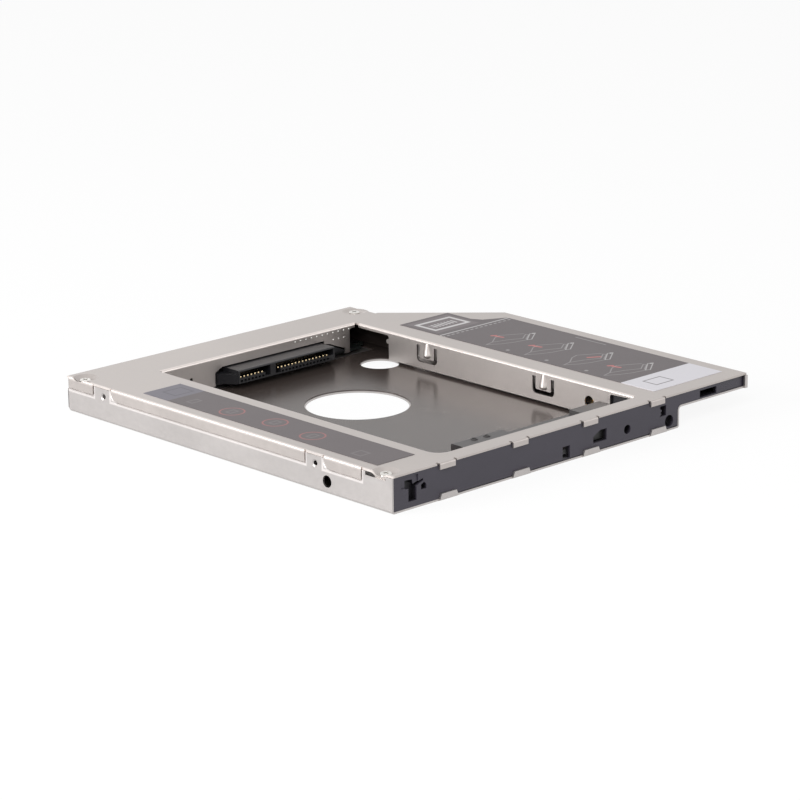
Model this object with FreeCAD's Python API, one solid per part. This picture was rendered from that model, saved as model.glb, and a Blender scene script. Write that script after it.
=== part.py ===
import FreeCAD, Part
import math
import os

# Slim optical-bay caddy for a 2.5 inch drive: a folded steel tray and a folded steel cover with a
# drive bay cut into it, a black moulded front frame, and a small board with a 22-way drive
# connector inside and a 13-way host plug at the rear.
#
# Sizes are in millimetres and measured from the case's front, left, bottom corner: x to the right
# along the front, y to the rear, z up. The finished pieces are moved once, at the end, so that the
# origin is at the middle of the case's bottom.

Vec = FreeCAD.Vector

# Bay for the drive, and the strips of the case round it
bay_left = 20.05
bay_width = 70.55
bay_front = 5.5
bay_length = 106.1
right_strip = 11.1
rear_strip = 14.5
wing_width = 26.3
wing_shelf = 0.8
wing_side_setback = 21.6

# Case
case_height = 9.5
wing_underside = 5.5
sheet = 0.5
seam = 0.05
fold_radius = 0.75
step_radius = 0.8
tray_corner_radius = 1.0
corner_slit_width = 0.3
ear_radius = 1.35
ear_inset = 0.35
ear_setback = 9.2

# Cover's flanges over the tray's sides, which lie flush in stepped pockets
cover_edge = 0.35
flange_bottom = 6.4
flange_thickness = 0.45
pocket_margin = 0.15
pocket_lip = 0.35
pocket_overlap = 0.6
flange_corner_radius = 2.2
front_left_flange = (11.4, 24.6)
long_left_flange_start = 31.7
long_left_flange_gap = 4.4
rear_corner_flange_length = 11.1
rear_flange_gap = 8.2
right_flange_start = 3.0
right_flange_gap = 3.0
fold_rounding = 0.4
flange_relief = 0.5

# Bay's walls
bay_corner_radius = 4.0
bay_wall_bottom = 1.45
bay_fold_radius = 0.6
right_wall_front_gap = 9.1
right_wall_rear_gap = 13.4
bay_lip_depth = 1.15
notch_corner_radius = 0.8
rear_wall_hole = (10.65, 5.0, 0.5)

# Spring fingers in the bay's right wall
rear_finger_gap = 28.63
front_finger_gap = 33.1
finger_slot_span = 8.0
finger_slot_width = 1.2
finger_slot_bottom = 3.3
finger_slot_top = 8.0
finger_slot_radius = 1.3
finger_tip_radius = 0.4
finger_boss_bottom = 4.8
finger_boss_top = 8.9
finger_boss_radius = 1.75
finger_boss_tip_radius = 0.95
finger_boss_foot_radius = 0.7
finger_boss_inset = 0.75

# Front tabs of both sheets
tab_count = 4
tab_edge_margin = 8.2
cover_tab_centre = 18.1
cover_tab_width = 5.2
cover_tab_drop = 1.6
tab_relief_width = 0.7
tab_relief_depth = 0.75
tray_tab_centre = 18.5
tray_tab_width = 5.0
tray_tab_height = 1.75
tray_tab_slope = 0.7

# Screws and the dished seats that they sit in
screw_head_radius = 1.55
screw_head_height = 0.5
screw_shank_radius = 0.75
screw_shank_length = 2.2
screw_thread_clearance = 0.05
dish_floor_radius = 2.1
dish_slope = 1.3
deep_dish = 1.0
shallow_dish = 0.55
front_left_screw = (2.4, 5.1)
rear_left_screw_inset = (2.5, 4.9)
rear_right_screw_inset = (2.8, 4.8)
screw_tab_reach = 5.2
front_tab_span = (3.0, 9.1)
front_notch_end = 9.8
rear_tab_inset = (9.9, 1.5)
right_tab_setback = 1.5
dish_slit_width = 0.35
dish_slit_inset = (9.5, 2.3)

# Holes through the tray
large_hole_offset = (35.95, 68.0)
large_hole_radius = 13.8
corner_hole_inset = (2.7, 12.6)
corner_hole_radius = 5.3
film_hole_margin = 0.35
access_hole_centre = (23.5, 3.2)
access_hole_radius = 1.55
bracket_hole_front = (27.9, 6.9)
bracket_hole_rear_inset = 15.6
bracket_hole_rear_height = 6.85
bracket_hole_radius = 0.65

# Insulating film, turned up behind the bay's rear right corner
film_thickness = 0.25
film_margin = 1.0
film_corner_left = 6.4
film_corner_length = 12.6
film_corner_gap = 0.3
film_corner_top = 7.8
film_plug_gap = 0.5

# Front frame
frame_wall = 1.3
frame_depth = 4.6
frame_flange = 0.9
frame_rib_thickness = 0.9
frame_flange_start = 6.0
frame_left_ribs = [13.0, 27.0, 41.0]
slot_rib_gap = 3.4
window_rib_gap = 5.5
right_rib_gap = 12.7
frame_groove = (22.0, 0.25)
wing_rib_gap = 2.7
wing_recess_width = 10.4
wing_recess_depth = 0.35
tall_slot = (43.3, 40.7, 0.9, 4.1)
window = (32.2, 27.3, 2.7, 5.7)
window_chamfer = (2.5, 1.3)
right_slot = (7.6, 5.0, 4.4, 7.1)
wing_slot = (18.3, 11.8, 6.35, 8.25)
small_round_hole = (19.6, 3.7, 1.2)
small_round_hole_depth = 3.4
small_round_hole_wall = 0.4
large_round_hole = (3.8, 2.6, 1.6)
latch_pocket_depth = 1.9
latch_pocket_back = 0.45
latch_pocket_span = (3.3, 13.5, 1.2, 7.9)
latch_outline = [
    (5.4, 2.0), (8.05, 2.0), (8.05, 5.6), (10.35, 6.4), (10.2, 6.95), (7.1, 6.15),
    (6.9, 7.3), (4.4, 7.5), (4.4, 5.35), (5.4, 5.35),
]
latch_side_hole = [(9.6, 4.2), (11.35, 4.2), (11.35, 5.2), (10.65, 5.95), (9.6, 5.4)]
latch_step_span = (3.05, 8.6, 5.65, 8.4)
latch_step_depth = 0.3

# Arm of the front frame beside the bay, with its brass insert
arm_gap = 0.4
arm_clearance = 1.1
arm_rear = 28.0
arm_top = 8.2
insert_centre = (21.9, 4.8)
insert_window_radius = 1.65
insert_outer_radius = 2.1
insert_bore_radius = 1.25
insert_recess = 1.6
insert_length = 4.5

# Loose stop in front of the drive
stop_left_gap = 17.25
stop_rear_gap = 13.3
stop_depth = 9.2
stop_top = 5.75
stop_low_top = 4.65
stop_low_left_gap = 17.3
stop_low_right_gap = 11.1
stop_clearance = 0.3
stop_pad_radius = 0.9
stop_pad_height = 0.2
stop_pad_insets = [(6.7, 1.5), (10.8, 1.8)]

# Drive connector
nose_right_gap = 13.2
nose_width = 34.8
nose_reach = 5.6
nose_bottom = 2.55
nose_top = 6.2
slot_bottom = 4.1
slot_top = 5.8
slot_depth = 4.6
slot_end_wall = 0.5
signal_slot_width = 10.8
slot_divider = 1.9
key_width = 1.8
key_bottom = 3.0
contact_pitch = 1.27
signal_first_gap = 1.1
signal_count = 7
power_first_gap = 14.5
power_last_clearance = 1.0
contact_width = 0.45
contact_height = 0.5
contact_setback = 0.5
cavity_width = 0.8
cavity_bottom = 2.9
cavity_top = 3.5
cavity_depth = 0.9
shoulder_width = 3.2
shoulder_bottom = 2.35
shoulder_top = 4.9
ear_reach = 4.4
ear_top = 3.9
fin_reach = 5.4
fin_start = 1.9
fin_top = 4.1
connector_tail = 3.8
connector_cutout_gap = 0.35

# Adapter board and the host plug at the rear
board_left_gap = 9.1
board_right_gap = 5.7
board_front_gap = 0.9
board_rear_gap = 1.5
board_bottom = 1.3
board_thickness = 0.9
board_screw_left_gap = 2.9
board_screw_plug_gap = 3.8
board_screw_inset = 4.0
board_boss_radius = 2.2
board_screw_head_radius = 1.6
board_screw_head_height = 0.8
plug_left_gap = 30.1
plug_width = 27.6
plug_length = 7.2
plug_top = 6.5
plug_wall = 0.75
plug_floor = 1.6
plug_blade_root = 1.0
plug_blade_tip_gap = 0.9
plug_contact_tip_gap = 1.1
plug_blade_height = 1.1
plug_blade_margin = 3.2
plug_key_start = 10.2
plug_key_width = 1.2
plug_signal_count = 7
plug_signal_start = 1.2
plug_power_count = 6
plug_power_start = 12.8
plug_power_pitch = 1.0
plug_contact_width = 0.56
plug_contact_thickness = 0.08
plug_gap = 0.35
capacitor_offsets = [(7.5, 6.2), (10.7, 6.2), (13.9, 6.2), (21.7, 5.0)]
capacitor_size = (1.6, 0.9, 0.8)

# Indicator board behind the front window
indicator_setback = 1.1
indicator_left_gap = 3.5
indicator_size = (14.4, 0.8)
indicator_bottom = 1.7
indicator_top_gap = 0.75
indicator_pad_width = 1.5
indicator_pad_span = (3.0, 6.2)
indicator_switch_size = (3.6, 1.0, 2.6)
indicator_switch_offset = (0.9, 0.2)

# Stickers
sticker = 0.08
left_sticker_edges = (3.8, 3.85, 9.6, 13.1)
right_sticker_edges = (7.0, 3.9, 5.6, 4.8)
right_sticker_step_width = 12.0
right_sticker_rear_gap = 11.0
right_sticker_corner = (1.6, 3.4, 6.4)

# Worked out from the values above
bay_right = bay_left + bay_width
bay_rear = bay_front + bay_length
body_width = bay_right + right_strip
body_inner_right = body_width - sheet
case_width = body_width + wing_width
case_depth = bay_rear + rear_strip
wing_side_length = bay_rear - wing_side_setback
diagonal_run = wing_width - wing_shelf
cover_underside = case_height - sheet
tray_top = cover_underside - seam

board_left = bay_right - nose_right_gap - nose_width - board_left_gap
board_right = bay_right + board_right_gap
board_front = bay_rear + board_front_gap
board_rear = case_depth - board_rear_gap
board_top = board_bottom + board_thickness
plug_left = board_right - plug_left_gap
board_screw_y = board_rear - board_screw_inset
board_screw_places = [
    (board_left + board_screw_left_gap, board_screw_y),
    (plug_left - board_screw_plug_gap, board_screw_y),
]
plug_rear = case_depth

left_flanges = [front_left_flange, (long_left_flange_start, bay_rear - long_left_flange_gap)]
rear_corner_flange_start = case_depth - rear_corner_flange_length
rear_flange_end = plug_left - rear_flange_gap
right_flange_end = wing_side_length - right_flange_gap
right_wall_front = bay_front + right_wall_front_gap
right_wall_rear = bay_rear - right_wall_rear_gap
finger_centres = [bay_rear - rear_finger_gap, bay_front + front_finger_gap]
tab_pitch = (body_width - tray_tab_centre - tab_edge_margin) / (tab_count - 1)
rear_left_screw = (rear_left_screw_inset[0], case_depth - rear_left_screw_inset[1])
rear_right_screw = (body_width - rear_right_screw_inset[0], case_depth - rear_right_screw_inset[1])
cover_screw_seats = [
    (front_left_screw, deep_dish), (rear_left_screw, deep_dish), (rear_right_screw, shallow_dish),
]
rear_tab_span = (case_depth - rear_tab_inset[0], case_depth - rear_tab_inset[1])
right_tab_span = (rear_tab_span[0] + right_tab_setback, rear_tab_span[1])
large_hole_centre = (bay_left + large_hole_offset[0], bay_front + large_hole_offset[1])
corner_hole_centre = (bay_right - corner_hole_inset[0], bay_rear - corner_hole_inset[1])
bracket_hole_places = [(case_depth - bracket_hole_rear_inset, bracket_hole_rear_height), bracket_hole_front]
film_top = sheet + film_thickness

frame_front = sheet + seam
frame_wall_back = frame_front + frame_wall
frame_back = frame_front + frame_depth
frame_bottom = sheet
frame_top = cover_underside - seam
frame_left = sheet + seam
frame_wing_right = case_width - sheet - seam
frame_wing_flange_right = case_width - 2.0 * sheet - 0.3
wing_floor_top = wing_underside + sheet
tall_slot_left = body_width - tall_slot[0]
window_left = body_width - window[0]
window_right = body_width - window[1]
right_slot_left = body_width - right_slot[0]
right_slot_right = body_width - right_slot[1]
wing_slot_left = case_width - wing_slot[0]
wing_slot_right = case_width - wing_slot[1]
indicator_left = window_left - indicator_left_gap
indicator_top = frame_top - frame_flange - indicator_top_gap
arm_left = bay_right + sheet + arm_gap
arm_width = right_strip - 2.0 * sheet - arm_gap - arm_clearance

stop_left = bay_left + stop_left_gap
stop_rear = bay_front + stop_rear_gap
stop_low_left = stop_left + stop_low_left_gap
stop_low_right = bay_right - stop_low_right_gap
nose_right = bay_right - nose_right_gap
nose_left = nose_right - nose_width
nose_front = bay_rear - nose_reach
connector_rear = bay_rear + connector_tail
shoulder_left = nose_left - shoulder_width
signal_slot = (nose_left + slot_end_wall, nose_left + slot_end_wall + signal_slot_width)
power_slot = (signal_slot[1] + slot_divider, nose_right - slot_end_wall)
signal_first = nose_left + signal_first_gap
power_first = nose_left + power_first_gap
power_room = power_slot[1] - power_last_clearance - power_first
power_count = int(power_room / contact_pitch) + 1


def box(x0, x1, y0, y1, z0, z1):
    """Block between two corners."""
    return Part.makeBox(x1 - x0, y1 - y0, z1 - z0, Vec(x0, y0, z0))


def cylinder(axis, centre, radius, start, end):
    """Cylinder along x, y or z; centre holds the two other coordinates in x, y, z order."""
    if axis == "x":
        return Part.makeCylinder(radius, end - start, Vec(start, centre[0], centre[1]), Vec(1, 0, 0))
    if axis == "y":
        return Part.makeCylinder(radius, end - start, Vec(centre[0], start, centre[1]), Vec(0, 1, 0))
    return Part.makeCylinder(radius, end - start, Vec(centre[0], centre[1], start), Vec(0, 0, 1))


def prism(axis, points, start, end):
    """Extrusion along an axis of a closed outline given in the two other coordinates."""
    place = {
        "x": lambda a, b: Vec(start, a, b),
        "y": lambda a, b: Vec(a, start, b),
        "z": lambda a, b: Vec(a, b, start),
    }[axis]
    corners = [place(a, b) for a, b in points]
    face = Part.Face(Part.makePolygon(corners + [corners[0]]))
    run = {"x": Vec(end - start, 0, 0), "y": Vec(0, end - start, 0), "z": Vec(0, 0, end - start)}[axis]
    return face.extrude(run)


def fuse(shapes):
    """One solid from pieces that meet."""
    result = shapes[0]
    for shape in shapes[1:]:
        result = result.fuse(shape)
    return result.removeSplitter()


def cut(shape, tools):
    """Shape less every tool."""
    for tool in tools:
        shape = shape.cut(tool)
    return shape


def fillet_where(shape, radius, test):
    """Rounds the straight edges whose two ends both pass the test."""
    chosen = []
    for edge in shape.Edges:
        ends = [vertex.Point for vertex in edge.Vertexes]
        if len(ends) == 2 and edge.Curve.TypeId == "Part::GeomLine" and all(test(end) for end in ends):
            chosen.append(edge)
    return shape.makeFillet(radius, chosen)


def near(value, target):
    """True where two coordinates agree."""
    return abs(value - target) < 1e-4


def wing_outline(inset, front):
    """Plan of the wing, with its corner cut off at 45 degrees, drawn in from the case's edge."""
    right = case_width - inset
    rear = wing_side_length + diagonal_run - inset
    diagonal_sum = case_width + wing_side_length - inset * math.sqrt(2.0)
    inner = body_width - 1.2
    corner = (diagonal_sum - rear, rear)
    return [(inner, front), (right, front), (right, diagonal_sum - right), corner, (inner, rear)]


def flange_outline(start, end, grow):
    """Side view of a cover flange: square at the front, rounded at the lower rear corner."""
    low = flange_bottom - grow
    reach = flange_corner_radius + grow
    first = start - grow
    last = end + grow
    corner = [
        (last - reach + reach * math.cos(angle), low + reach - reach * math.sin(angle))
        for angle in [math.radians(step) for step in range(0, 91, 15)]
    ]
    top = case_height
    return [(first, low), (first, top), (last, top)] + corner


def step_bend(x, z, radius, inset, front):
    """Filler that rounds the bend between the deep part's right wall and the wing's shelf."""
    rear = wing_side_length + diagonal_run
    filler = box(x - 0.2, x + radius, front, rear, z - radius, z + 0.2)
    filler = filler.cut(cylinder("y", (x + radius, z - radius), radius, front - 1, rear + 1))
    return filler.common(prism("z", wing_outline(inset, front), 0, case_height))


def tray_shell():
    """Outside of the tray less its inside, open at the top and the front."""
    outside = fuse([
        box(0, body_width, sheet, case_depth, 0, tray_top),
        prism("z", wing_outline(0, sheet), wing_underside, tray_top),
        box(case_width - sheet, case_width, 0, wing_side_length, wing_underside, tray_top),
    ])
    front_return = box(case_width - 2.0 * sheet, case_width, 0, sheet, wing_underside, tray_top)
    outside = fillet_where(outside, fold_radius, lambda p: near(p.z, 0) and near(p.x, 0))
    outside = fillet_where(outside, fold_radius, lambda p: near(p.z, 0) and near(p.x, body_width))
    outside = fillet_where(outside, fold_radius, lambda p: near(p.z, 0) and near(p.y, case_depth))
    outside = fuse([outside, step_bend(body_width, wing_underside, step_radius, 0, sheet)])
    inside = fuse([
        box(sheet, body_inner_right, -1, case_depth - sheet, sheet, case_height),
        prism("z", wing_outline(sheet, -1), wing_floor_top, case_height),
    ])
    inner_radius = fold_radius - sheet
    inside = fillet_where(inside, inner_radius, lambda p: near(p.z, sheet) and near(p.x, sheet))
    inside = fillet_where(inside, inner_radius, lambda p: near(p.z, sheet) and near(p.x, body_inner_right))
    inside = fillet_where(inside, inner_radius, lambda p: near(p.z, sheet) and near(p.y, case_depth - sheet))
    inside = fuse([inside, step_bend(body_inner_right, wing_floor_top, step_radius + sheet, sheet, -1)])
    return fuse([outside.cut(inside), front_return])


def tray_front_tabs():
    """Short tongues turned up in front of the moulded frame, with sloping ends."""
    tabs = []
    for index in range(tab_count):
        centre = tray_tab_centre + index * tab_pitch
        half = tray_tab_width / 2.0
        wide = half + tray_tab_slope
        tab = fuse([
            box(centre - wide, centre + wide, 0, sheet, 0, tray_tab_height),
            box(centre - wide, centre + wide, 0, 2.0 * sheet, 0, sheet),
        ])
        tab = fillet_where(tab, 0.9 * sheet, lambda p: near(p.y, 0) and near(p.z, 0))
        outline = [
            (centre - wide, 0),
            (centre + wide, 0),
            (centre + half, tray_tab_height),
            (centre - half, tray_tab_height),
        ]
        tabs.append(tab.common(prism("y", outline, -1, 3)))
    return tabs


def screw_tab(centre, top, span, wall_x, toward):
    """Tongue folded in from the top of a side wall to take a cover screw, with its fold rounded."""
    x0, x1 = sorted([wall_x, wall_x + toward * screw_tab_reach])
    tab = box(x0, x1, span[0], span[1], top - sheet, top)
    tab = fillet_where(tab, 0.9 * sheet, lambda p: near(p.x, wall_x) and near(p.z, top))
    return tab.cut(cylinder("z", centre, screw_shank_radius + screw_thread_clearance, top - 1, top + 1))


def pocket_flare(start, end):
    """Flared mouth of a left pocket, where the sheet bends in under a flange."""
    first = start - pocket_margin
    last = end + pocket_margin
    low = flange_bottom - pocket_margin
    reach = flange_corner_radius + pocket_margin
    beyond = 0.1
    wide = pocket_lip + beyond
    return fuse([
        prism("y", [(-beyond, low - wide), (pocket_lip, low), (-beyond, low + 1)], first, last - reach),
        prism("z", [(-beyond, first - wide), (pocket_lip, first), (-beyond, first + 1)], low, case_height),
        prism("z", [(-beyond, last + wide), (pocket_lip, last), (-beyond, last - 1)], low + reach, case_height),
        Part.makeCone(reach + wide, reach, wide, Vec(-beyond, last - reach, low + reach), Vec(1, 0, 0)),
    ])


def side_pockets():
    """Steps in the tray's walls that take the cover's flanges flush: pads inside, cuts outside."""
    pads = []
    cuts = []
    beyond = case_depth + 5.0
    for start, end in left_flanges + [(rear_corner_flange_start - pocket_margin, beyond)]:
        pads.append(prism("x", flange_outline(start, end, pocket_overlap), sheet, 2.0 * sheet))
        cuts.append(prism("x", flange_outline(start, end, pocket_margin), -1, sheet))
        cuts.append(pocket_flare(start, end))
    right = flange_outline(right_flange_start, right_flange_end, pocket_overlap)
    pads.append(prism("x", right, case_width - 2.0 * sheet, case_width - sheet))
    right = flange_outline(right_flange_start, right_flange_end, pocket_margin)
    cuts.append(prism("x", right, case_width - sheet, case_width + 1))
    flare = pocket_flare(right_flange_start, right_flange_end)
    cuts.append(flare.mirror(Vec(case_width / 2.0, 0, 0), Vec(1, 0, 0)))
    rear = flange_outline(-5.0, rear_flange_end, pocket_overlap)
    pads.append(prism("y", rear, case_depth - 2.0 * sheet, case_depth - sheet))
    rear = flange_outline(-5.0, rear_flange_end, pocket_margin)
    cuts.append(prism("y", rear, case_depth - sheet, case_depth + 1))
    flare = pocket_flare(-5.0, rear_flange_end)
    flare.rotate(Vec(0, 0, 0), Vec(0, 0, 1), -90)
    flare.translate(Vec(0, case_depth, 0))
    cuts.append(flare)
    limits = box(0, case_width, 0, case_depth, 0, tray_top)
    return [pad.common(limits) for pad in pads], cuts


def board_bosses():
    """Round seats pressed up from the tray's floor under the board's two screws."""
    bosses = []
    for place in board_screw_places:
        outer = Part.makeCone(board_boss_radius + 0.6, board_boss_radius, board_bottom - sheet,
                              Vec(place[0], place[1], sheet))
        bosses.append(outer)
    return bosses


def board_boss_hollows():
    """Underside of the pressed seats and their screw holes."""
    hollows = []
    for place in board_screw_places:
        depth = board_bottom - sheet
        foot = Vec(place[0], place[1], 0)
        hollows.append(Part.makeCone(board_boss_radius, board_boss_radius - 0.6, depth, foot))
        hollows.append(cylinder("z", place, screw_shank_radius + screw_thread_clearance, -1, board_bottom + 1))
    return hollows


def bracket_holes():
    """Small threaded holes in the left wall, each in a shallow countersink."""
    holes = [cylinder("x", access_hole_centre, access_hole_radius, -1, 3)]
    for place in bracket_hole_places:
        holes.append(cylinder("x", place, bracket_hole_radius, -1, 3))
        holes.append(Part.makeCone(1.6 * bracket_hole_radius, bracket_hole_radius, sheet / 2.0,
                                   Vec(0, place[0], place[1]), Vec(1, 0, 0)))
    return holes


def make_bottom_tray():
    """Lower sheet: floor, side and rear walls, wing shelf, tabs, screw tongues and holes."""
    pads, pockets = side_pockets()
    deep_top = case_height - deep_dish - sheet
    shallow_top = case_height - shallow_dish - sheet
    room = [
        box(-1, 2.0 * sheet + 0.01, front_tab_span[0] - 0.3, front_notch_end, deep_top, case_height),
        box(-1, 2.0 * sheet + 0.01, rear_tab_span[0], rear_tab_span[1], deep_top, case_height),
        box(body_inner_right - 0.01, body_width + 1, right_tab_span[0], right_tab_span[1],
            shallow_top, case_height),
    ]
    tray = fuse([tray_shell()] + pads + tray_front_tabs())
    tray = cut(tray, pockets + room)
    ear_centre = (body_width - ear_inset, case_depth - ear_setback)
    ear = cylinder("z", ear_centre, ear_radius, wing_underside, tray_top)
    ear = ear.common(box(body_inner_right, case_width, board_front, case_depth, 0, case_height))
    tray = fuse([tray, ear] + board_bosses() + [
        screw_tab(front_left_screw, deep_top, front_tab_span, 0, 1),
        screw_tab(rear_left_screw, deep_top, rear_tab_span, sheet, 1),
        screw_tab(rear_right_screw, shallow_top, right_tab_span, body_width, -1),
    ])
    radius = tray_corner_radius
    corner = box(-1, radius, case_depth - radius, case_depth + 1, -1, radius)
    corner = corner.cut(Part.makeSphere(radius, Vec(radius, case_depth - radius, radius)))
    plug_right = plug_left + plug_width
    corner_relief = 2.0 * sheet + 0.2
    openings = [
        corner,
        box(-1, corner_relief, case_depth - corner_relief, case_depth + 1, flange_bottom, case_height),
        box(-1, sheet, case_depth - sheet - corner_slit_width, case_depth - sheet,
            radius, flange_bottom + 0.3),
        cylinder("z", large_hole_centre, large_hole_radius, -1, 2),
        cylinder("z", corner_hole_centre, corner_hole_radius, -1, 2),
        box(plug_left - plug_gap, plug_right + plug_gap, case_depth - 2, case_depth + 1,
            board_bottom - 0.2, plug_top + plug_gap),
    ]
    return cut(tray, openings + bracket_holes() + board_boss_hollows())


def dish_solid(centre, depth, offset):
    """Cone frustum that a pressed screw seat fills, grown by offset for the outside of the sheet."""
    floor = case_height - depth - offset
    height = case_height - offset - floor + 1.0
    radius = dish_floor_radius + offset * 0.6
    top_radius = radius + dish_slope * height / depth
    return Part.makeCone(radius, top_radius, height, Vec(centre[0], centre[1], floor))


def cover_plan():
    """Outline of the cover's top plate."""
    edge = pocket_margin
    return [
        (edge, cover_edge),
        (case_width - edge, cover_edge),
        (case_width - edge, wing_side_length - 0.1),
        (case_width - diagonal_run - 0.1, wing_side_length + diagonal_run - 0.1),
        (body_width - edge, wing_side_length + diagonal_run - 0.1),
        (body_width - edge, case_depth - edge),
        (edge, case_depth - edge),
    ]


def side_flange(outline, side):
    """Flange folded down from the cover's left or right edge, with a rounded fold."""
    ys = [point[0] for point in outline]
    if side == "left":
        edge = 0
        plate = prism("x", outline, 0, flange_thickness)
        strip = box(0, 1.5, min(ys), max(ys), cover_underside, case_height)
    else:
        edge = case_width
        plate = prism("x", outline, case_width - flange_thickness, case_width)
        strip = box(case_width - 1.5, case_width, min(ys), max(ys), cover_underside, case_height)
    flange = fuse([plate, strip])
    return fillet_where(flange, fold_rounding, lambda p: near(p.x, edge) and near(p.z, case_height))


def flange_reliefs():
    """Small notches in the top plate's left edge where its flanges end."""
    ends = [value for flange in left_flanges for value in flange]
    notches = []
    for place, side in zip(ends, [-1, 1, -1, 1]):
        y0, y1 = sorted([place, place + side * flange_relief])
        notches.append(box(-1, flange_relief, y0, y1, cover_underside - 1, case_height + 1))
    return notches


def cover_corner_flange():
    """Flange that wraps the rear left corner and runs along the rear edge."""
    low = flange_bottom + 0.15
    start = rear_corner_flange_start
    rear_limit = rear_flange_end
    outer = fuse([
        box(0, 6.0, start, case_depth, low, case_height),
        prism("y", flange_outline(0, rear_limit, 0), case_depth - 6.0, case_depth).common(
            box(0, rear_limit, 0, case_depth, low, case_height)),
    ])
    outer = fillet_where(outer, 1.2, lambda p: near(p.x, 0) and near(p.y, case_depth))
    rounded = [edge for edge in outer.Edges
               if all(near(v.Point.z, case_height) and (near(v.Point.x, 0) or near(v.Point.y, case_depth)
                      or (v.Point.x < 1.3 and v.Point.y > case_depth - 1.3)) for v in edge.Vertexes)]
    outer = outer.makeFillet(fold_rounding, rounded)
    inner = fuse([
        box(flange_thickness, 7.0, start - 1, case_depth - flange_thickness, 0, cover_underside),
        box(flange_thickness, rear_limit + 1, case_depth - 7.0, case_depth - flange_thickness, 0, cover_underside),
    ])
    inner_rear = case_depth - flange_thickness
    inner = fillet_where(inner, 0.7, lambda p: near(p.x, flange_thickness) and near(p.y, inner_rear))
    return outer.cut(inner)


def bay_walls():
    """Walls folded down from the bay's right, rear and left edges."""
    lip = case_height - bay_lip_depth
    right_outline = [
        (bay_front + 0.8, cover_underside),
        (bay_front + 0.8, lip + 0.3),
        (right_wall_front, lip),
        (right_wall_front, bay_wall_bottom),
        (right_wall_rear, bay_wall_bottom),
        (right_wall_rear, lip),
        (bay_rear - 1.0, lip),
        (bay_rear - 1.0, cover_underside),
    ]
    right = prism("x", right_outline, bay_right, bay_right + sheet)
    right = fillet_where(right, notch_corner_radius, lambda p: near(p.z, lip) and near(p.y, right_wall_front))
    right = fillet_where(right, notch_corner_radius, lambda p: near(p.z, lip) and near(p.y, right_wall_rear))
    nub = cylinder("x", (right_wall_rear + 0.35, 6.6), 0.65, bay_right, bay_right + sheet)
    strip = box(bay_right, bay_right + 1.5, bay_front + 0.8, bay_rear - 1.0, cover_underside, case_height)
    right = fuse([right, nub, strip])
    right = fillet_where(right, bay_fold_radius, lambda p: near(p.x, bay_right) and near(p.z, case_height))

    cut_left = shoulder_left - ear_reach - connector_cutout_gap
    fin_left = nose_right + shoulder_width
    rear_left = bay_left + 0.6
    rear_right = bay_right - 2.4
    rear_outline = [
        (rear_left, cover_underside),
        (rear_left, bay_wall_bottom),
        (cut_left + ear_reach, bay_wall_bottom),
        (cut_left + ear_reach, shoulder_top + connector_cutout_gap),
        (nose_left - 1.0, nose_top + connector_cutout_gap),
        (nose_right + 1.2, nose_top + connector_cutout_gap),
        (nose_right + 1.2, shoulder_top + 0.8),
        (nose_right + 3.6, shoulder_top + 0.3),
        (fin_left + fin_start, fin_top + 0.4),
        (fin_left + fin_reach + 0.5, board_top + 0.8),
        (fin_left + fin_reach + 0.5, bay_wall_bottom),
        (rear_right, bay_wall_bottom),
        (rear_right, lip),
        (bay_right - 0.4, lip),
        (bay_right - 0.4, cover_underside),
    ]
    rear = prism("y", rear_outline, bay_rear, bay_rear + sheet)
    rear = fillet_where(rear, notch_corner_radius, lambda p: near(p.z, lip) and near(p.x, rear_right))
    strip = box(rear_left, bay_right - 0.4, bay_rear, bay_rear + 1.5, cover_underside, case_height)
    rear = fuse([rear, strip])
    rear = fillet_where(rear, bay_fold_radius, lambda p: near(p.y, bay_rear) and near(p.z, case_height))
    hole_across, hole_up, hole_radius = rear_wall_hole
    rear = rear.cut(cylinder("y", (bay_left + hole_across, hole_up), hole_radius,
                             bay_rear - 1, bay_rear + 1))

    left = box(bay_left - sheet, bay_left, right_wall_front, right_wall_rear,
               bay_wall_bottom, cover_underside + 0.1)
    left = left.cut(cylinder("x", access_hole_centre, insert_window_radius, bay_left - 2, bay_left + 1))
    return [right, rear, left]


def slot_outline(centre, half, low, top, radius):
    """Side view of a U's outer or inner edge, with rounded lower corners."""
    outline = [(centre + half, top), (centre - half, top)]
    for step in range(0, 91, 15):
        angle = math.radians(step)
        in_from_side = radius * (1.0 - math.cos(angle))
        outline.append((centre - half + in_from_side, low + radius * (1.0 - math.sin(angle))))
    for step in range(90, -1, -15):
        angle = math.radians(step)
        in_from_side = radius * (1.0 - math.cos(angle))
        outline.append((centre + half - in_from_side, low + radius * (1.0 - math.sin(angle))))
    return outline


def finger_slot(centre):
    """U-shaped cut that frees one spring finger, open at the top."""
    half = finger_slot_span / 2.0
    outer = slot_outline(centre, half, finger_slot_bottom, finger_slot_top, finger_slot_radius)
    inner_low = finger_slot_bottom + finger_slot_width
    inner = slot_outline(centre, half - finger_slot_width, inner_low, finger_slot_top + 1, finger_tip_radius)
    slot = prism("x", outer, bay_right - 1, bay_right + 1)
    return slot.cut(prism("x", inner, bay_right - 2, bay_right + 2))


def finger_boss(centre):
    """Tapered bump pressed out of a finger toward the drive, narrow at the top."""
    height = finger_boss_top - finger_boss_bottom
    foot = Vec(bay_right + finger_boss_inset, centre, finger_boss_bottom)
    cone = Part.makeCone(finger_boss_radius, finger_boss_tip_radius, height, foot)
    rim = [edge for edge in cone.Edges if near(edge.CenterOfMass.z, finger_boss_bottom)]
    cone = cone.makeFillet(finger_boss_foot_radius, rim)
    return cone.common(box(bay_right - 2, bay_right + sheet / 2.0, centre - 3, centre + 3, 0, case_height))


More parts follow.
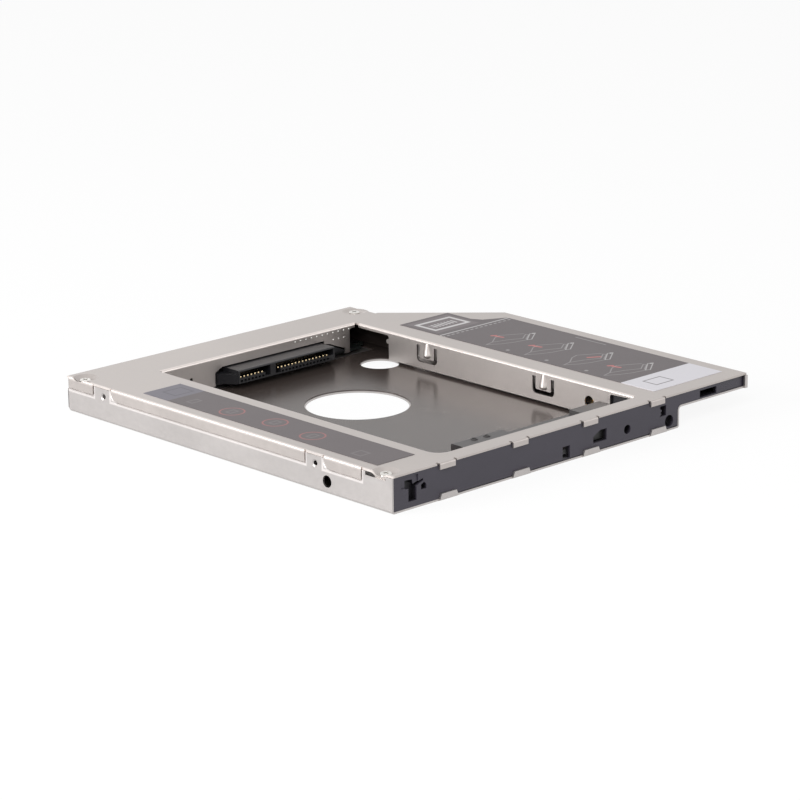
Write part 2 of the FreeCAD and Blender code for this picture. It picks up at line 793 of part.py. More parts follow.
def make_top_cover():
    """Upper sheet: top plate, bay with its walls and fingers, flanges, front tabs and screw seats."""
    plate = prism("z", cover_plan(), cover_underside, case_height)
    bay = box(bay_left, bay_right, bay_front, bay_rear, 0, case_height + 1)
    bay = fillet_where(bay, bay_corner_radius, lambda p: near(p.x, bay_left) and near(p.y, bay_front))
    bay_cut = fuse([
        bay,
        box(bay_right - 1, bay_right + 1.4, bay_front + 0.8, bay_rear - 1.0, 0, case_height + 1),
        box(bay_left + 0.6, bay_right - 0.4, bay_rear - 1, bay_rear + 1.4, 0, case_height + 1),
    ])
    plate = plate.cut(bay_cut)
    left_side = [side_flange(flange_outline(a, b, 0), "left") for a, b in left_flanges]
    right_side = side_flange(flange_outline(right_flange_start, right_flange_end, 0), "right")
    tabs = []
    reliefs = []
    for index in range(tab_count):
        centre = cover_tab_centre + index * tab_pitch
        half = cover_tab_width / 2.0
        tab = fuse([
            box(centre - half, centre + half, 0, flange_thickness, case_height - cover_tab_drop, case_height),
            box(centre - half, centre + half, 0, 2.0, cover_underside, case_height),
        ])
        tab = fillet_where(tab, fold_rounding, lambda p: near(p.y, 0) and near(p.z, case_height))
        tabs.append(tab)
        for side in (-1, 1):
            edge = centre + side * half
            x0, x1 = sorted([edge, edge + side * tab_relief_width])
            reliefs.append(box(x0, x1, -1, cover_edge + tab_relief_depth,
                               cover_underside - 1, case_height + 1))
    cover = fuse([plate, cover_corner_flange()] + left_side + [right_side] + tabs + bay_walls())
    cover = cut(cover, reliefs + flange_reliefs() + [finger_slot(centre) for centre in finger_centres])
    cover = fuse([cover] + [finger_boss(centre) for centre in finger_centres])
    cover = cover.cut(cylinder("x", insert_centre, insert_window_radius, bay_right - 1, bay_right + 1))

    rim = box(flange_thickness + seam, case_width, 0.6, case_depth - flange_thickness - seam, 0, case_height)
    for centre, depth in cover_screw_seats:
        shell = dish_solid(centre, depth, sheet).common(rim).common(
            box(0, case_width, 0, case_depth, case_height - depth - sheet, cover_underside + 0.2))
        cover = cover.fuse(shell)
        cover = cover.cut(dish_solid(centre, depth, 0))
        hole_radius = screw_shank_radius + 2.0 * screw_thread_clearance
        cover = cover.cut(cylinder("z", centre, hole_radius, 0, case_height))
    slit_left = flange_thickness
    slit = box(slit_left, slit_left + dish_slit_width, case_depth - dish_slit_inset[0],
               case_depth - dish_slit_inset[1], case_height - deep_dish - 2.0 * sheet, case_height + 1)
    return cover.cut(slit).removeSplitter()


def make_floor_film():
    """Dark insulating film on the tray's floor, turned up behind the bay, cut out round both holes."""
    right = body_inner_right - film_corner_gap
    rear = case_depth - sheet - film_corner_gap
    left = bay_right + film_corner_left
    front = bay_rear - film_corner_length
    film = fuse([
        box(bay_left - film_margin, bay_right + film_margin, frame_back + 0.4, bay_rear - 0.5,
            sheet, film_top),
        box(bay_right, right, front, bay_rear - 0.5, sheet, film_top),
        box(left, right, front, rear, sheet, film_top),
        box(right - film_thickness, right, front, rear, sheet, film_corner_top),
        box(plug_left + plug_width + film_plug_gap, right, rear - film_thickness, rear,
            sheet, film_corner_top),
    ])
    return cut(film, [
        cylinder("z", large_hole_centre, large_hole_radius + film_hole_margin, 0, 2),
        cylinder("z", corner_hole_centre, corner_hole_radius + film_hole_margin, 0, 2),
    ])


def frame_openings():
    """Slots, window and round holes through the front wall of the moulded frame."""
    back = frame_wall_back + 0.5
    window_outline = [
        (window_left, window[2]),
        (window_right, window[2]),
        (window_right, window[3]),
        (window_left + window_chamfer[0], window[3]),
        (window_left, window[3] - window_chamfer[1]),
    ]
    low = right_slot[2]
    high = right_slot[3]
    jagged_outline = [
        (right_slot_left + 0.2, low),
        (right_slot_right, low),
        (right_slot_right, high),
        (right_slot_left + 0.3, high),
        (right_slot_left + 0.3, high - 0.7),
        (right_slot_left + 0.9, high - 1.0),
        (right_slot_left + 0.9, high - 1.4),
        (right_slot_left + 0.4, low + 1.0),
        (right_slot_left + 0.9, low + 0.7),
    ]
    small_x = body_width - small_round_hole[0]
    large_x = body_width - large_round_hole[0]
    return [
        box(tall_slot_left, body_width - tall_slot[1], -1, back, tall_slot[2], tall_slot[3]),
        box(wing_slot_left, wing_slot_right, -1, back, wing_slot[2], wing_slot[3]),
        prism("y", window_outline, -1, back),
        prism("y", jagged_outline, -1, back),
        cylinder("y", (small_x, small_round_hole[1]), small_round_hole[2],
                 -1, frame_front + small_round_hole_depth),
        cylinder("y", (large_x, large_round_hole[1]), large_round_hole[2], -1, back),
    ]


def latch_pocket():
    """Blind T-shaped pocket with a slanting arm, and the five-sided hole beside it."""
    back = frame_front + latch_pocket_depth
    left, right, low, high = latch_step_span
    step = box(left, right, 0, frame_front + latch_step_depth, low, high)
    return [prism("y", latch_outline, -1, back), prism("y", latch_side_hole, -1, back), step]


def make_front_frame():
    """Black moulding behind the front tabs: wall, flanges, ribs, wing and the arm beside the bay."""
    right = body_inner_right - seam
    wing_bottom = wing_floor_top + seam
    wall = fuse([
        box(frame_left, right, frame_front, frame_wall_back, frame_bottom, frame_top),
        box(right - 1.0, frame_wing_right, frame_front, frame_wall_back, wing_bottom, frame_top),
    ])
    step = step_radius + sheet + seam
    wall = fillet_where(wall, step, lambda p: near(p.x, right) and near(p.z, wing_bottom))
    corner_radius = fold_radius - sheet + seam
    wall = fillet_where(wall, corner_radius, lambda p: near(p.x, frame_left) and near(p.z, frame_bottom))
    wall = fillet_where(wall, corner_radius, lambda p: near(p.x, right) and near(p.z, frame_bottom))
    low_right = right - corner_radius
    low_left = frame_left + frame_flange_start
    pocket_left, pocket_right, pocket_low, pocket_high = latch_pocket_span
    pocket_back = frame_front + latch_pocket_depth + latch_pocket_back
    small_centre = (body_width - small_round_hole[0], small_round_hole[1])
    pieces = [
        wall,
        box(low_left, low_right, frame_wall_back, frame_back, frame_bottom, frame_bottom + frame_flange),
        box(low_left, low_right, frame_wall_back, frame_back, frame_top - frame_flange, frame_top),
        box(low_right - 1.0, frame_wing_flange_right, frame_wall_back, frame_back,
            frame_top - frame_flange, frame_top),
        box(right + 2.0, frame_wing_flange_right, frame_wall_back, frame_back, wing_bottom, wing_slot[2]),
        box(pocket_left, pocket_right, frame_wall_back, pocket_back, pocket_low, pocket_high),
        cylinder("y", small_centre, small_round_hole[2] + small_round_hole_wall, frame_wall_back, frame_back),
    ]
    indicator_right = indicator_left + indicator_size[0]
    for pad_x in [indicator_left + 1.0, indicator_right - 1.0 - indicator_pad_width]:
        pieces.append(box(pad_x, pad_x + indicator_pad_width, frame_wall_back,
                          frame_wall_back + indicator_setback, indicator_pad_span[0], indicator_pad_span[1]))
    right_ribs = [tall_slot_left - slot_rib_gap, window_left - window_rib_gap, body_width - right_rib_gap]
    for rib_x in frame_left_ribs + right_ribs:
        pieces.append(box(rib_x, rib_x + frame_rib_thickness, frame_wall_back, frame_back,
                          frame_bottom, frame_top))
    rib_x = wing_slot_left - wing_rib_gap
    pieces.append(box(rib_x, rib_x + frame_rib_thickness, frame_wall_back, frame_back,
                      wing_bottom, frame_top))
    pieces.append(box(arm_left, arm_left + arm_width, frame_wall_back, arm_rear, film_top + 0.1, arm_top))
    frame = fuse(pieces)
    pocket = box(arm_left + 1.4, arm_left + arm_width - 1.2, frame_wall_back + 1.6,
                 insert_centre[0] - insert_outer_radius - 2.1, film_top + 1.4, arm_top + 1)
    recess_left = case_width - wing_recess_width
    recess = box(recess_left, case_width, 0, frame_front + wing_recess_depth, wing_underside, case_height)
    groove = box(frame_groove[0], low_right, 0, frame_front + 0.4, 0, frame_bottom + frame_groove[1])
    seat = [
        cylinder("x", insert_centre, insert_outer_radius - 0.3, arm_left - 1, arm_left + insert_recess + 0.1),
        cylinder("x", insert_centre, insert_outer_radius, arm_left + insert_recess, arm_left + arm_width + 1),
    ]
    dish_room = dish_solid(front_left_screw, deep_dish, sheet + 2.0 * seam)
    return cut(frame, frame_openings() + latch_pocket() + [pocket, recess, groove, dish_room] + seat)


def make_lock_insert():
    """Brass threaded bush pressed into the arm beside the bay."""
    start = arm_left + insert_recess
    body = cylinder("x", insert_centre, insert_outer_radius, start, start + insert_length)
    return body.cut(cylinder("x", insert_centre, insert_bore_radius, start - 1, start + insert_length + 1))


def make_drive_stop():
    """Moulded filler that lies across the front of the bay, with raised ends."""
    right = bay_right - stop_clearance
    front = stop_rear - stop_depth
    outline = [
        (stop_left, film_top),
        (right, film_top),
        (right, stop_top),
        (stop_low_right, stop_top),
        (stop_low_right, stop_low_top),
        (stop_low_left + 1.1, stop_low_top),
        (stop_low_left, stop_top),
        (stop_left, stop_top),
    ]
    stop = prism("y", outline, front, stop_rear)
    stop = fillet_where(stop, 0.5, lambda p: near(p.y, stop_rear) and p.z > film_top + 1)
    pocket = box(stop_left + 1.4, right - 1.4, front + 1.4, stop_rear - 1.6, film_top - 1, stop_low_top - 1.2)
    stop = stop.cut(pocket)
    pads = []
    for across, inset in stop_pad_insets:
        place = (stop_left + across, stop_rear - inset)
        disc = cylinder("z", place, stop_pad_radius, stop_top - 0.2, stop_top + stop_pad_height)
        pads.append(disc.cut(cylinder("z", place, stop_pad_radius - 0.3, stop_top, stop_top + 1)))
    return fuse([stop] + pads)


def contact_row(first, count, pitch):
    """Centre lines of a row of contacts."""
    return [first + pitch * index for index in range(count)]


def make_drive_connector():
    """22-way receptacle: nose with two keyed slots, contact cavities, side guides and ears."""
    nose = prism("x", [
        (nose_front, nose_bottom),
        (nose_front, nose_top - 0.25),
        (nose_front + 0.3, nose_top),
        (connector_rear, nose_top),
        (connector_rear, board_top),
        (board_front - 0.2, board_top),
        (board_front - 0.2, nose_bottom),
    ], nose_left, nose_right)
    guides = []
    for side in (-1, 1):
        edge = nose_left if side < 0 else nose_right
        far = edge + side * shoulder_width
        guides.append(prism("z", [
            (edge, nose_front + 0.5), (far, bay_rear - 0.6), (far, connector_rear), (edge, connector_rear),
        ], shoulder_bottom, shoulder_top))
    guides.append(box(shoulder_left - ear_reach, shoulder_left, bay_rear + sheet + 0.1, connector_rear,
                      board_top, ear_top))
    fin_left = nose_right + shoulder_width
    guides.append(prism("y", [
        (fin_left, shoulder_bottom), (fin_left, fin_top + 0.5), (fin_left + fin_start, fin_top),
        (fin_left + fin_reach, shoulder_bottom + 0.25), (fin_left + fin_reach, shoulder_bottom),
    ], bay_rear - 0.2, connector_rear))
    body = fuse([nose] + guides)
    body = body.cut(box(board_left, board_right, board_front - 0.2, connector_rear + 1, 0, board_top))
    cuts = []
    slot_back = nose_front + slot_depth
    for slot in (signal_slot, power_slot):
        cuts.append(box(slot[0], slot[1], nose_front - 1, slot_back, slot_bottom, slot_top))
    signal_key = signal_slot[1] - key_width
    power_key = power_slot[0] + key_width
    cuts.append(box(signal_key, signal_slot[1], nose_front - 1, slot_back, key_bottom, slot_top))
    cuts.append(box(power_slot[0], power_key, nose_front - 1, slot_back, key_bottom, slot_top))
    half = cavity_width / 2.0
    places = contact_row(signal_first, signal_count, contact_pitch)
    places += contact_row(power_first, power_count, contact_pitch)
    for x in places:
        if x + half <= signal_key or x - half >= power_key:
            cuts.append(box(x - half, x + half, nose_front - 1, nose_front + cavity_depth,
                            cavity_bottom, cavity_top))
    return cut(body, cuts)


def make_contacts(first, count):
    """Gold-plated springs along the floor of a slot."""
    springs = []
    for x in contact_row(first, count, contact_pitch):
        springs.append(box(x - contact_width / 2.0, x + contact_width / 2.0, nose_front + contact_setback,
                           nose_front + slot_depth, slot_bottom, slot_bottom + contact_height))
    return Part.makeCompound(springs)


def make_adapter_board():
    """Circuit board that carries both connectors, notched for the screws and the corner."""
    board = box(board_left, board_right, board_front, board_rear, board_bottom, board_top)
    holes = [cylinder("z", place, screw_shank_radius + 0.25, 0, 5) for place in board_screw_places]
    notch = box(board_right - 3.0, board_right + 1, board_front - 1, board_front + 2.6, 0, 5)
    return cut(board, holes + [notch])


def make_board_screws():
    """Pan-head screws that hold the board down."""
    screws = []
    for place in board_screw_places:
        top = board_top + board_screw_head_height
        head = cylinder("z", place, board_screw_head_radius, board_top, top)
        head = head.makeChamfer(0.3, [edge for edge in head.Edges if near(edge.CenterOfMass.z, top)])
        shank = cylinder("z", place, screw_shank_radius, board_bottom - 0.6, board_top + 0.1)
        screws.append(fuse([head, shank]).cut(cross_recess(place, top)))
    return Part.makeCompound(screws)


def cross_recess(place, top):
    """Cross-shaped driver recess."""
    arm = 0.85
    half = 0.18
    depth = 0.35
    return fuse([
        box(place[0] - arm, place[0] + arm, place[1] - half, place[1] + half, top - depth, top + 1),
        box(place[0] - half, place[0] + half, place[1] - arm, place[1] + arm, top - depth, top + 1),
    ])


def make_cover_screws():
    """Flat-head screws in the cover's three dished seats."""
    screws = []
    for place, depth in cover_screw_seats:
        seat = case_height - depth
        top = seat + screw_head_height
        head = cylinder("z", place, screw_head_radius, seat, top)
        head = head.makeChamfer(0.2, [edge for edge in head.Edges if near(edge.CenterOfMass.z, top)])
        shank = cylinder("z", place, screw_shank_radius, top - screw_shank_length, seat + 0.1)
        screws.append(fuse([head, shank]).cut(cross_recess(place, top)))
    return Part.makeCompound(screws)


def plug_blade_span():
    """Left and right ends of the host plug's blade."""
    return plug_left + plug_blade_margin, plug_left + plug_width - plug_blade_margin


def make_host_plug():
    """Slim 13-way plug: a shroud open to the rear with a thin blade inside."""
    right = plug_left + plug_width
    front = plug_rear - plug_length
    shell = box(plug_left, right, front, plug_rear, board_top, plug_top)
    cavity = box(plug_left + plug_wall, right - plug_wall, front + plug_floor, plug_rear + 1,
                 board_top + plug_wall, plug_top - plug_wall)
    shell = shell.cut(cavity)
    blade_left, blade_right = plug_blade_span()
    middle = (board_top + plug_top) / 2.0
    half = plug_blade_height / 2.0
    blade = box(blade_left, blade_right, front + plug_blade_root, plug_rear - plug_blade_tip_gap,
                middle - half, middle + half)
    key_left = blade_left + plug_key_start
    blade = blade.cut(box(key_left, key_left + plug_key_width, front + plug_floor, plug_rear, middle, plug_top))
    return fuse([shell, blade])


def make_host_contacts():
    """Flat contacts on the upper side of the host plug's blade."""
    blade_left, _ = plug_blade_span()
    middle = (board_top + plug_top) / 2.0
    top = middle + plug_blade_height / 2.0
    front = plug_rear - plug_length
    half = plug_contact_width / 2.0
    places = contact_row(blade_left + plug_signal_start, plug_signal_count, contact_pitch)
    places += contact_row(blade_left + plug_power_start, plug_power_count, plug_power_pitch)
    strips = []
    for x in places:
        strips.append(box(x - half, x + half, front + plug_floor, plug_rear - plug_contact_tip_gap,
                          top, top + plug_contact_thickness))
    return Part.makeCompound(strips)


def make_board_capacitors():
    """Small ceramic capacitors on the adapter board."""
    length, width, height = capacitor_size
    blocks = []
    for across, inset in capacitor_offsets:
        x = board_left + across
        y = board_rear - inset
        blocks.append(box(x, x + length, y, y + width, board_top, board_top + height))
    return Part.makeCompound(blocks)


def make_indicator_board():
    """Small upright board behind the front window."""
    y0 = frame_wall_back + indicator_setback
    return box(indicator_left, indicator_left + indicator_size[0], y0, y0 + indicator_size[1],
               indicator_bottom, indicator_top)


def make_indicator_switch():
    """Small push switch on the indicator board, seen through the window."""
    y1 = frame_wall_back + indicator_setback
    middle = (window_left + window_right) / 2.0 + indicator_switch_offset[0]
    base = window[2] + indicator_switch_offset[1]
    width, depth, height = indicator_switch_size
    return box(middle - width / 2.0, middle + width / 2.0, y1 - depth, y1, base, base + height)


def make_left_sticker():
    """Long printed sticker on the cover's left strip."""
    left, right_gap, front, rear_gap = left_sticker_edges
    return box(left, bay_left - right_gap, front, bay_rear - rear_gap, case_height, case_height + sticker)


def make_right_sticker():
    """Printed sticker on the cover's right side, with its rear corner cut back for the diagonal."""
    left_gap, right_gap, front, side_gap = right_sticker_edges
    step_run, first_rise, second_rise = right_sticker_corner
    left = bay_right + left_gap
    right = case_width - right_gap
    side_rear = wing_side_length - side_gap
    step = case_width - right_sticker_step_width
    rear = wing_side_length + right_sticker_rear_gap
    outline = [
        (left, front), (right, front), (right, side_rear), (step + step_run, side_rear + first_rise),
        (step, side_rear + second_rise), (step, rear), (left, rear),
    ]
    return prism("z", outline, case_height, case_height + sticker)


pieces = {
    "bottom_tray": make_bottom_tray(),
    "top_cover": make_top_cover(),
    "floor_film": make_floor_film(),
    "front_frame": make_front_frame(),
    "lock_insert": make_lock_insert(),
    "drive_stop": make_drive_stop(),
    "drive_connector": make_drive_connector(),
    "signal_contacts": make_contacts(signal_first, signal_count),
    "power_contacts": make_contacts(power_first, power_count),
    "adapter_board": make_adapter_board(),
    "board_screws": make_board_screws(),
    "board_capacitors": make_board_capacitors(),
    "host_plug": make_host_plug(),
    "host_contacts": make_host_contacts(),
    "cover_screws": make_cover_screws(),
    "indicator_board": make_indicator_board(),
    "indicator_switch": make_indicator_switch(),
    "left_sticker": make_left_sticker(),
    "right_sticker": make_right_sticker(),
}

os.makedirs("parts", exist_ok=True)
origin_shift = Vec(-case_width / 2.0, -case_depth / 2.0, 0)
for name, shape in pieces.items():
    placed = shape.copy()
    placed.translate(origin_shift)
    placed.exportStep("parts/" + name + ".step")
    box_of = placed.BoundBox
    print(name, "valid" if placed.isValid() else "INVALID", "solids", len(placed.Solids),
          "volume", round(placed.Volume, 2),
          "x", round(box_of.XMin, 2), round(box_of.XMax, 2),
          "y", round(box_of.YMin, 2), round(box_of.YMax, 2),
          "z", round(box_of.ZMin, 2), round(box_of.ZMax, 2))
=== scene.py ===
from functools import reduce

import bpy
import numpy as np
from bpy.props import FloatProperty, FloatVectorProperty, IntProperty, PointerProperty
from mathutils import Matrix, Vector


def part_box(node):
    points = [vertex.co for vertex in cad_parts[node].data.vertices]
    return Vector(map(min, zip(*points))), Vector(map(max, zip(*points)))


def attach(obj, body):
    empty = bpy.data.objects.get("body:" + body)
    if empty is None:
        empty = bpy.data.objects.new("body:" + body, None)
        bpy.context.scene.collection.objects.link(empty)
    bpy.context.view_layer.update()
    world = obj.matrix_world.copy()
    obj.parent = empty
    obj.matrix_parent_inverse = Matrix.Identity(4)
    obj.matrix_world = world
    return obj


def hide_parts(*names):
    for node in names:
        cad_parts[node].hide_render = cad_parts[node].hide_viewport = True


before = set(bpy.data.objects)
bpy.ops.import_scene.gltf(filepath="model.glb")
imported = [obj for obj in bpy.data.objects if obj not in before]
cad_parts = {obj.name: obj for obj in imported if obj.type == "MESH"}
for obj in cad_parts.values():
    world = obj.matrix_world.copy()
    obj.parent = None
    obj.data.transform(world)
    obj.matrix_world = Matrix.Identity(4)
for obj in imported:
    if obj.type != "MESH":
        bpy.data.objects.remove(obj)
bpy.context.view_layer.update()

bl_info = {
    "name": "Drive Caddy Looks",
    "version": (1, 0, 0),
    "blender": (4, 5, 0),
    "location": "3D View > Sidebar > Caddy",
    "description": "Finishes, formed contacts, stickers and studio of a slim drive caddy",
    "category": "Object",
}

mm_per_metre = 1000.0

# Places below are in millimetres from the case's front, left, bottom corner, as on a drawing:
# x to the right along the front, y to the rear, z up.
case_corner = np.array(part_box("bottom_tray")[0]) * mm_per_metre

# Tray: pockets for the cover's flanges in the left wall, whose lips get a painted highlight, as
# front and rear along y.
flange_pockets = ((11.25, 24.75), (31.55, 107.35), (114.7, 140.0))
pocket_bottom = 6.2
above_case = 14.0
left_wall_inside = 0.6

# Cover: folds that get a painted highlight, as a place across and a height, with the middle and
# half length of their run.
left_fold = (0.3, 9.2)
bay_right_fold, bay_right_middle, bay_right_half = (90.95, 9.3), 58.4, 52.2
bay_rear_fold, bay_rear_middle, bay_rear_half = (111.95, 9.3), 55.4, 34.9

# Front frame: the wing's end is polished, and its slots are in shade.
wing_end_start = 117.6
slot_shade_start = 1.05

# Drive connector: the springs lie in two slots of one section.
contact_pitch = 1.27
spring_width, spring_thickness = 0.45, 0.14
slot_front, slot_length, slot_floor = 106.5, 4.1, 4.1
signal_first, signal_count = 43.7, 7
power_first, power_count = 57.1, 15

# Adapter board: middles of the capacitors along x, and what is tinned at each end.
capacitor_middles = (41.8, 45.0, 48.2, 56.0)
capacitor_half, tinned_length = 0.8, 0.35

# Bush beside the bay: its axis as y and z, and its bore along x.
bush_axis = (21.9, 4.8)
bush_start, bush_length, bush_bore, thread_depth = 93.15, 4.4, 1.25, 0.16

# Bay's rear wall: first pip of the upper and of the lower row, as x and z.
rear_wall_face, pip_rise = 111.6, 0.12
upper_pips, lower_pips = (67.9, 8.28), (82.0, 6.2)
lower_pip_count = 3

# Stage: square soft boxes that face the part, as name, place and side in metres and power in watts.
soft_boxes = (
    ("key_box", (-0.75, -0.55, 0.75), 0.7, 7.8),
    ("left_box", (-0.85, 0.35, 0.26), 0.5, 7.5),
    ("rear_box", (0.25, 0.85, 0.55), 0.8, 0.5),
    ("front_box", (0.45, -0.9, 0.35), 0.6, 1.9),
)
floor_half = 6.0

# Camera: its right, down and forward directions, its place, and its focal length in pixels.
view_right = np.array([0.72703912, -0.68651689, -0.01042477])
view_down = np.array([-0.1989431, -0.19610539, -0.96018973])
view_forward = np.array([0.65714212, 0.70016943, -0.27915409])
view_place = (-493.84, -528.81, 238.91)
focal_pixels, frame_pixels = 3206.28, 800.0
sensor_width = 36.0


def placed(points):
    """Drawing millimetres to scene metres: add the corner's place and divide by a thousand."""
    return (np.asarray(points, float) + case_corner) / mm_per_metre


class Value:
    """A node's output that takes part in arithmetic. Each operation adds one Math node."""

    def __init__(self, nodes, socket):
        self.nodes = nodes
        self.socket = socket

    def math(self, operation, *others):
        inputs = dict(enumerate((self, *others)))
        return self.nodes.read(self.nodes.node("ShaderNodeMath", {"operation": operation}, inputs))

    def __add__(self, other):
        return self.math("ADD", other)

    def __radd__(self, other):
        return self.math("ADD", other)

    def __sub__(self, other):
        return self.math("SUBTRACT", other)

    def __rsub__(self, other):
        return (self * -1.0) + other

    def __mul__(self, other):
        return self.math("MULTIPLY", other)

    def __rmul__(self, other):
        return self.math("MULTIPLY", other)

    def __abs__(self):
        return self.math("ABSOLUTE")

    def least(self, other):
        return self.math("MINIMUM", other)

    def most(self, other):
        return self.math("MAXIMUM", other)

    def fraction(self):
        """What stands above the whole number below the value."""
        return self.math("FRACT")

    def swing(self, amount):
        """A noise about its middle, as large as the amount."""
        return (self - 0.5) * amount

    def inside(self, soft):
        """1 where the value is below zero, 0 where it is above, over a soft edge."""
        shifted = self * (-1.0 / soft) + 0.5
        return shifted.least(1.0).most(0.0)

    def band(self, half, soft):
        """1 where the value is within half of zero, 0 elsewhere, over a soft edge."""
        return (abs(self) - half).inside(soft)

    def stripes(self, per_unit, half, soft):
        """Even bands across the value. Their half width and soft edge are shares of the pitch."""
        return ((self * per_unit).fraction() - 0.5).band(half, soft)


class Nodes:
    """A node tree, with a single method that adds any node."""

    # Sockets of a Mix node while it mixes colours, because its sockets share their names.
    mix_first, mix_second, mix_result = 6, 7, 2

    def __init__(self, tree):
        self.tree = tree
        self.tree.nodes.clear()

    def node(self, kind, settings=None, inputs=None):
        """Adds a node: its settings first, then the values or links of its sockets."""
        made = self.tree.nodes.new(kind)
        for key, setting in (settings or {}).items():
            setattr(made, key, setting)
        for key, given in (inputs or {}).items():
            if isinstance(given, Value):
                self.tree.links.new(given.socket, made.inputs[key])
            else:
                made.inputs[key].default_value = given
        return made

    def read(self, made, output=0):
        return Value(self, made.outputs[output])

    def when_seen(self, otherwise, seen):
        """One number for rays that show a thing as seen, in gloss or in glass, else the other."""
        path = self.node("ShaderNodeLightPath")
        ray = self.read(path, "Is Camera Ray")
        for name in ("Is Glossy Ray", "Is Transmission Ray"):
            ray = ray.most(self.read(path, name))
        limits = {"Value": ray, "To Min": otherwise, "To Max": seen}
        return self.read(self.node("ShaderNodeMapRange", None, limits))


class Finish(Nodes):
    """The nodes of one material."""

    def __init__(self, name):
        self.material = bpy.data.materials.new(name)
        self.material.use_nodes = True
        super().__init__(self.material.node_tree)
        self.point = None

    def vector(self, operation, *inputs, output="Vector"):
        """A Vector Math node. A dot product or a length comes out of its Value."""
        settings, given = {"operation": operation}, dict(enumerate(inputs))
        return self.read(self.node("ShaderNodeVectorMath", settings, given), output)

    def object_point(self):
        """Object coordinates in metres."""
        if self.point is None:
            self.point = self.read(self.node("ShaderNodeTexCoord"), "Object")
        return self.point

    def drawing_point(self):
        """Object coordinates as drawing millimetres."""
        scale = (mm_per_metre,) * 3
        return self.vector("MULTIPLY_ADD", self.object_point(), scale, tuple(-case_corner))

    def axes(self, point):
        split = self.node("ShaderNodeSeparateXYZ", None, {0: point})
        return self.read(split, "X"), self.read(split, "Y"), self.read(split, "Z")

    def flat(self, x, y):
        """A vector of two numbers, level with the drawing's floor."""
        return self.read(self.node("ShaderNodeCombineXYZ", None, {"X": x, "Y": y}))

    def noise(self, per_metre, detail, roughness, stretch=None):
        point = self.object_point()
        if stretch is not None:
            point = self.vector("MULTIPLY", point, stretch)
        inputs = {"Vector": point, "Scale": per_metre, "Detail": detail, "Roughness": roughness}
        return self.read(self.node("ShaderNodeTexNoise", None, inputs), "Fac")

    def blend(self, factor, first, second):
        inputs = {"Factor": factor, self.mix_first: first, self.mix_second: second}
        made = self.node("ShaderNodeMix", {"data_type": "RGBA"}, inputs)
        return self.read(made, self.mix_result)

    def bump(self, height, strength, distance):
        """Normal from a height. The distance is in metres."""
        inputs = {"Height": height, "Strength": strength, "Distance": distance}
        return self.read(self.node("ShaderNodeBump", None, inputs), "Normal")

    def output(self, shader):
        """Ends the material with a shader."""
        self.node("ShaderNodeOutputMaterial", None, {"Surface": self.read(shader)})
        return self.material

    def surface(self, **inputs):
        """Ends with a Principled shader. Keyword names are its sockets with underscores."""
        named = {key.replace("_", " "): given for key, given in inputs.items()}
        return self.output(self.node("ShaderNodeBsdfPrincipled", None, named))


def tone(color, factor=1.0):
    """A colour brightened or darkened by a factor, with full alpha."""
    return (color[0] * factor, color[1] * factor, color[2] * factor, 1.0)


def nearest_of(gaps):
    """The least of several distances."""
    return reduce(Value.least, gaps)


def rectangle_gap(x, y, low, high):
    """Signed distance to a rectangle by its larger axis: below zero inside it."""
    across = abs(x - (low[0] + high[0]) / 2.0) - (high[0] - low[0]) / 2.0
    along = abs(y - (low[1] + high[1]) / 2.0) - (high[1] - low[1]) / 2.0
    return across.most(along)


def circle_gap(x, y, centre, radius):
    """Signed distance to a circle: below zero inside it."""
    dx = x - centre[0]
    dy = y - centre[1]
    return (dx * dx + dy * dy).math("SQRT") - radius


def stroke_gap(finish, point, start, end):
    """Distance to a straight stroke: the point less its own foot on the stroke."""
    run = (end[0] - start[0], end[1] - start[1])
    length_squared = run[0] ** 2 + run[1] ** 2
    per_length = (run[0] / length_squared, run[1] / length_squared, 0.0)
    away = finish.vector("SUBTRACT", point, (*start, 0.0))
    share = finish.vector("DOT_PRODUCT", away, per_length, output="Value").least(1.0).most(0.0)
    foot = finish.flat(share * run[0], share * run[1])
    return finish.vector("LENGTH", finish.vector("SUBTRACT", away, foot), output="Value")


def drawn_lines(finish, point, lines, half, soft):
    """1 within half of any stroke of several lines, each a row of corners."""
    strokes = [stroke for line in lines for stroke in zip(line, line[1:])]
    gap = nearest_of(stroke_gap(finish, point, start, end) for start, end in strokes)
    return (gap - half).inside(soft)


def pocket_lip_highlights(x, y, z):
    """Painted highlight along the edges of the mouths of the left wall's three flange pockets."""
    lip_half = 0.33
    nearest = nearest_of(
        rectangle_gap(y, z, (front, pocket_bottom), (rear, above_case))
        for front, rear in flange_pockets
    )
    lip_highlights = (nearest - lip_half).band(half=lip_half, soft=0.3)
    return lip_highlights * (x - left_wall_inside).inside(soft=0.1)


def cover_fold_highlights(x, y, z):
    """Painted highlights along the folds at the left edge and along the bay's right and rear walls.
    """
    left = circle_gap(x, z, left_fold, radius=0.45).inside(soft=0.4)
    right = circle_gap(x, z, bay_right_fold, radius=0.3).inside(soft=0.3)
    right = right * (y - bay_right_middle).band(half=bay_right_half, soft=0.2)
    rear = circle_gap(y, z, bay_rear_fold, radius=0.5).inside(soft=0.3)
    rear = rear * (x - bay_rear_middle).band(half=bay_rear_half, soft=0.2)
    return left.most(right).most(rear)


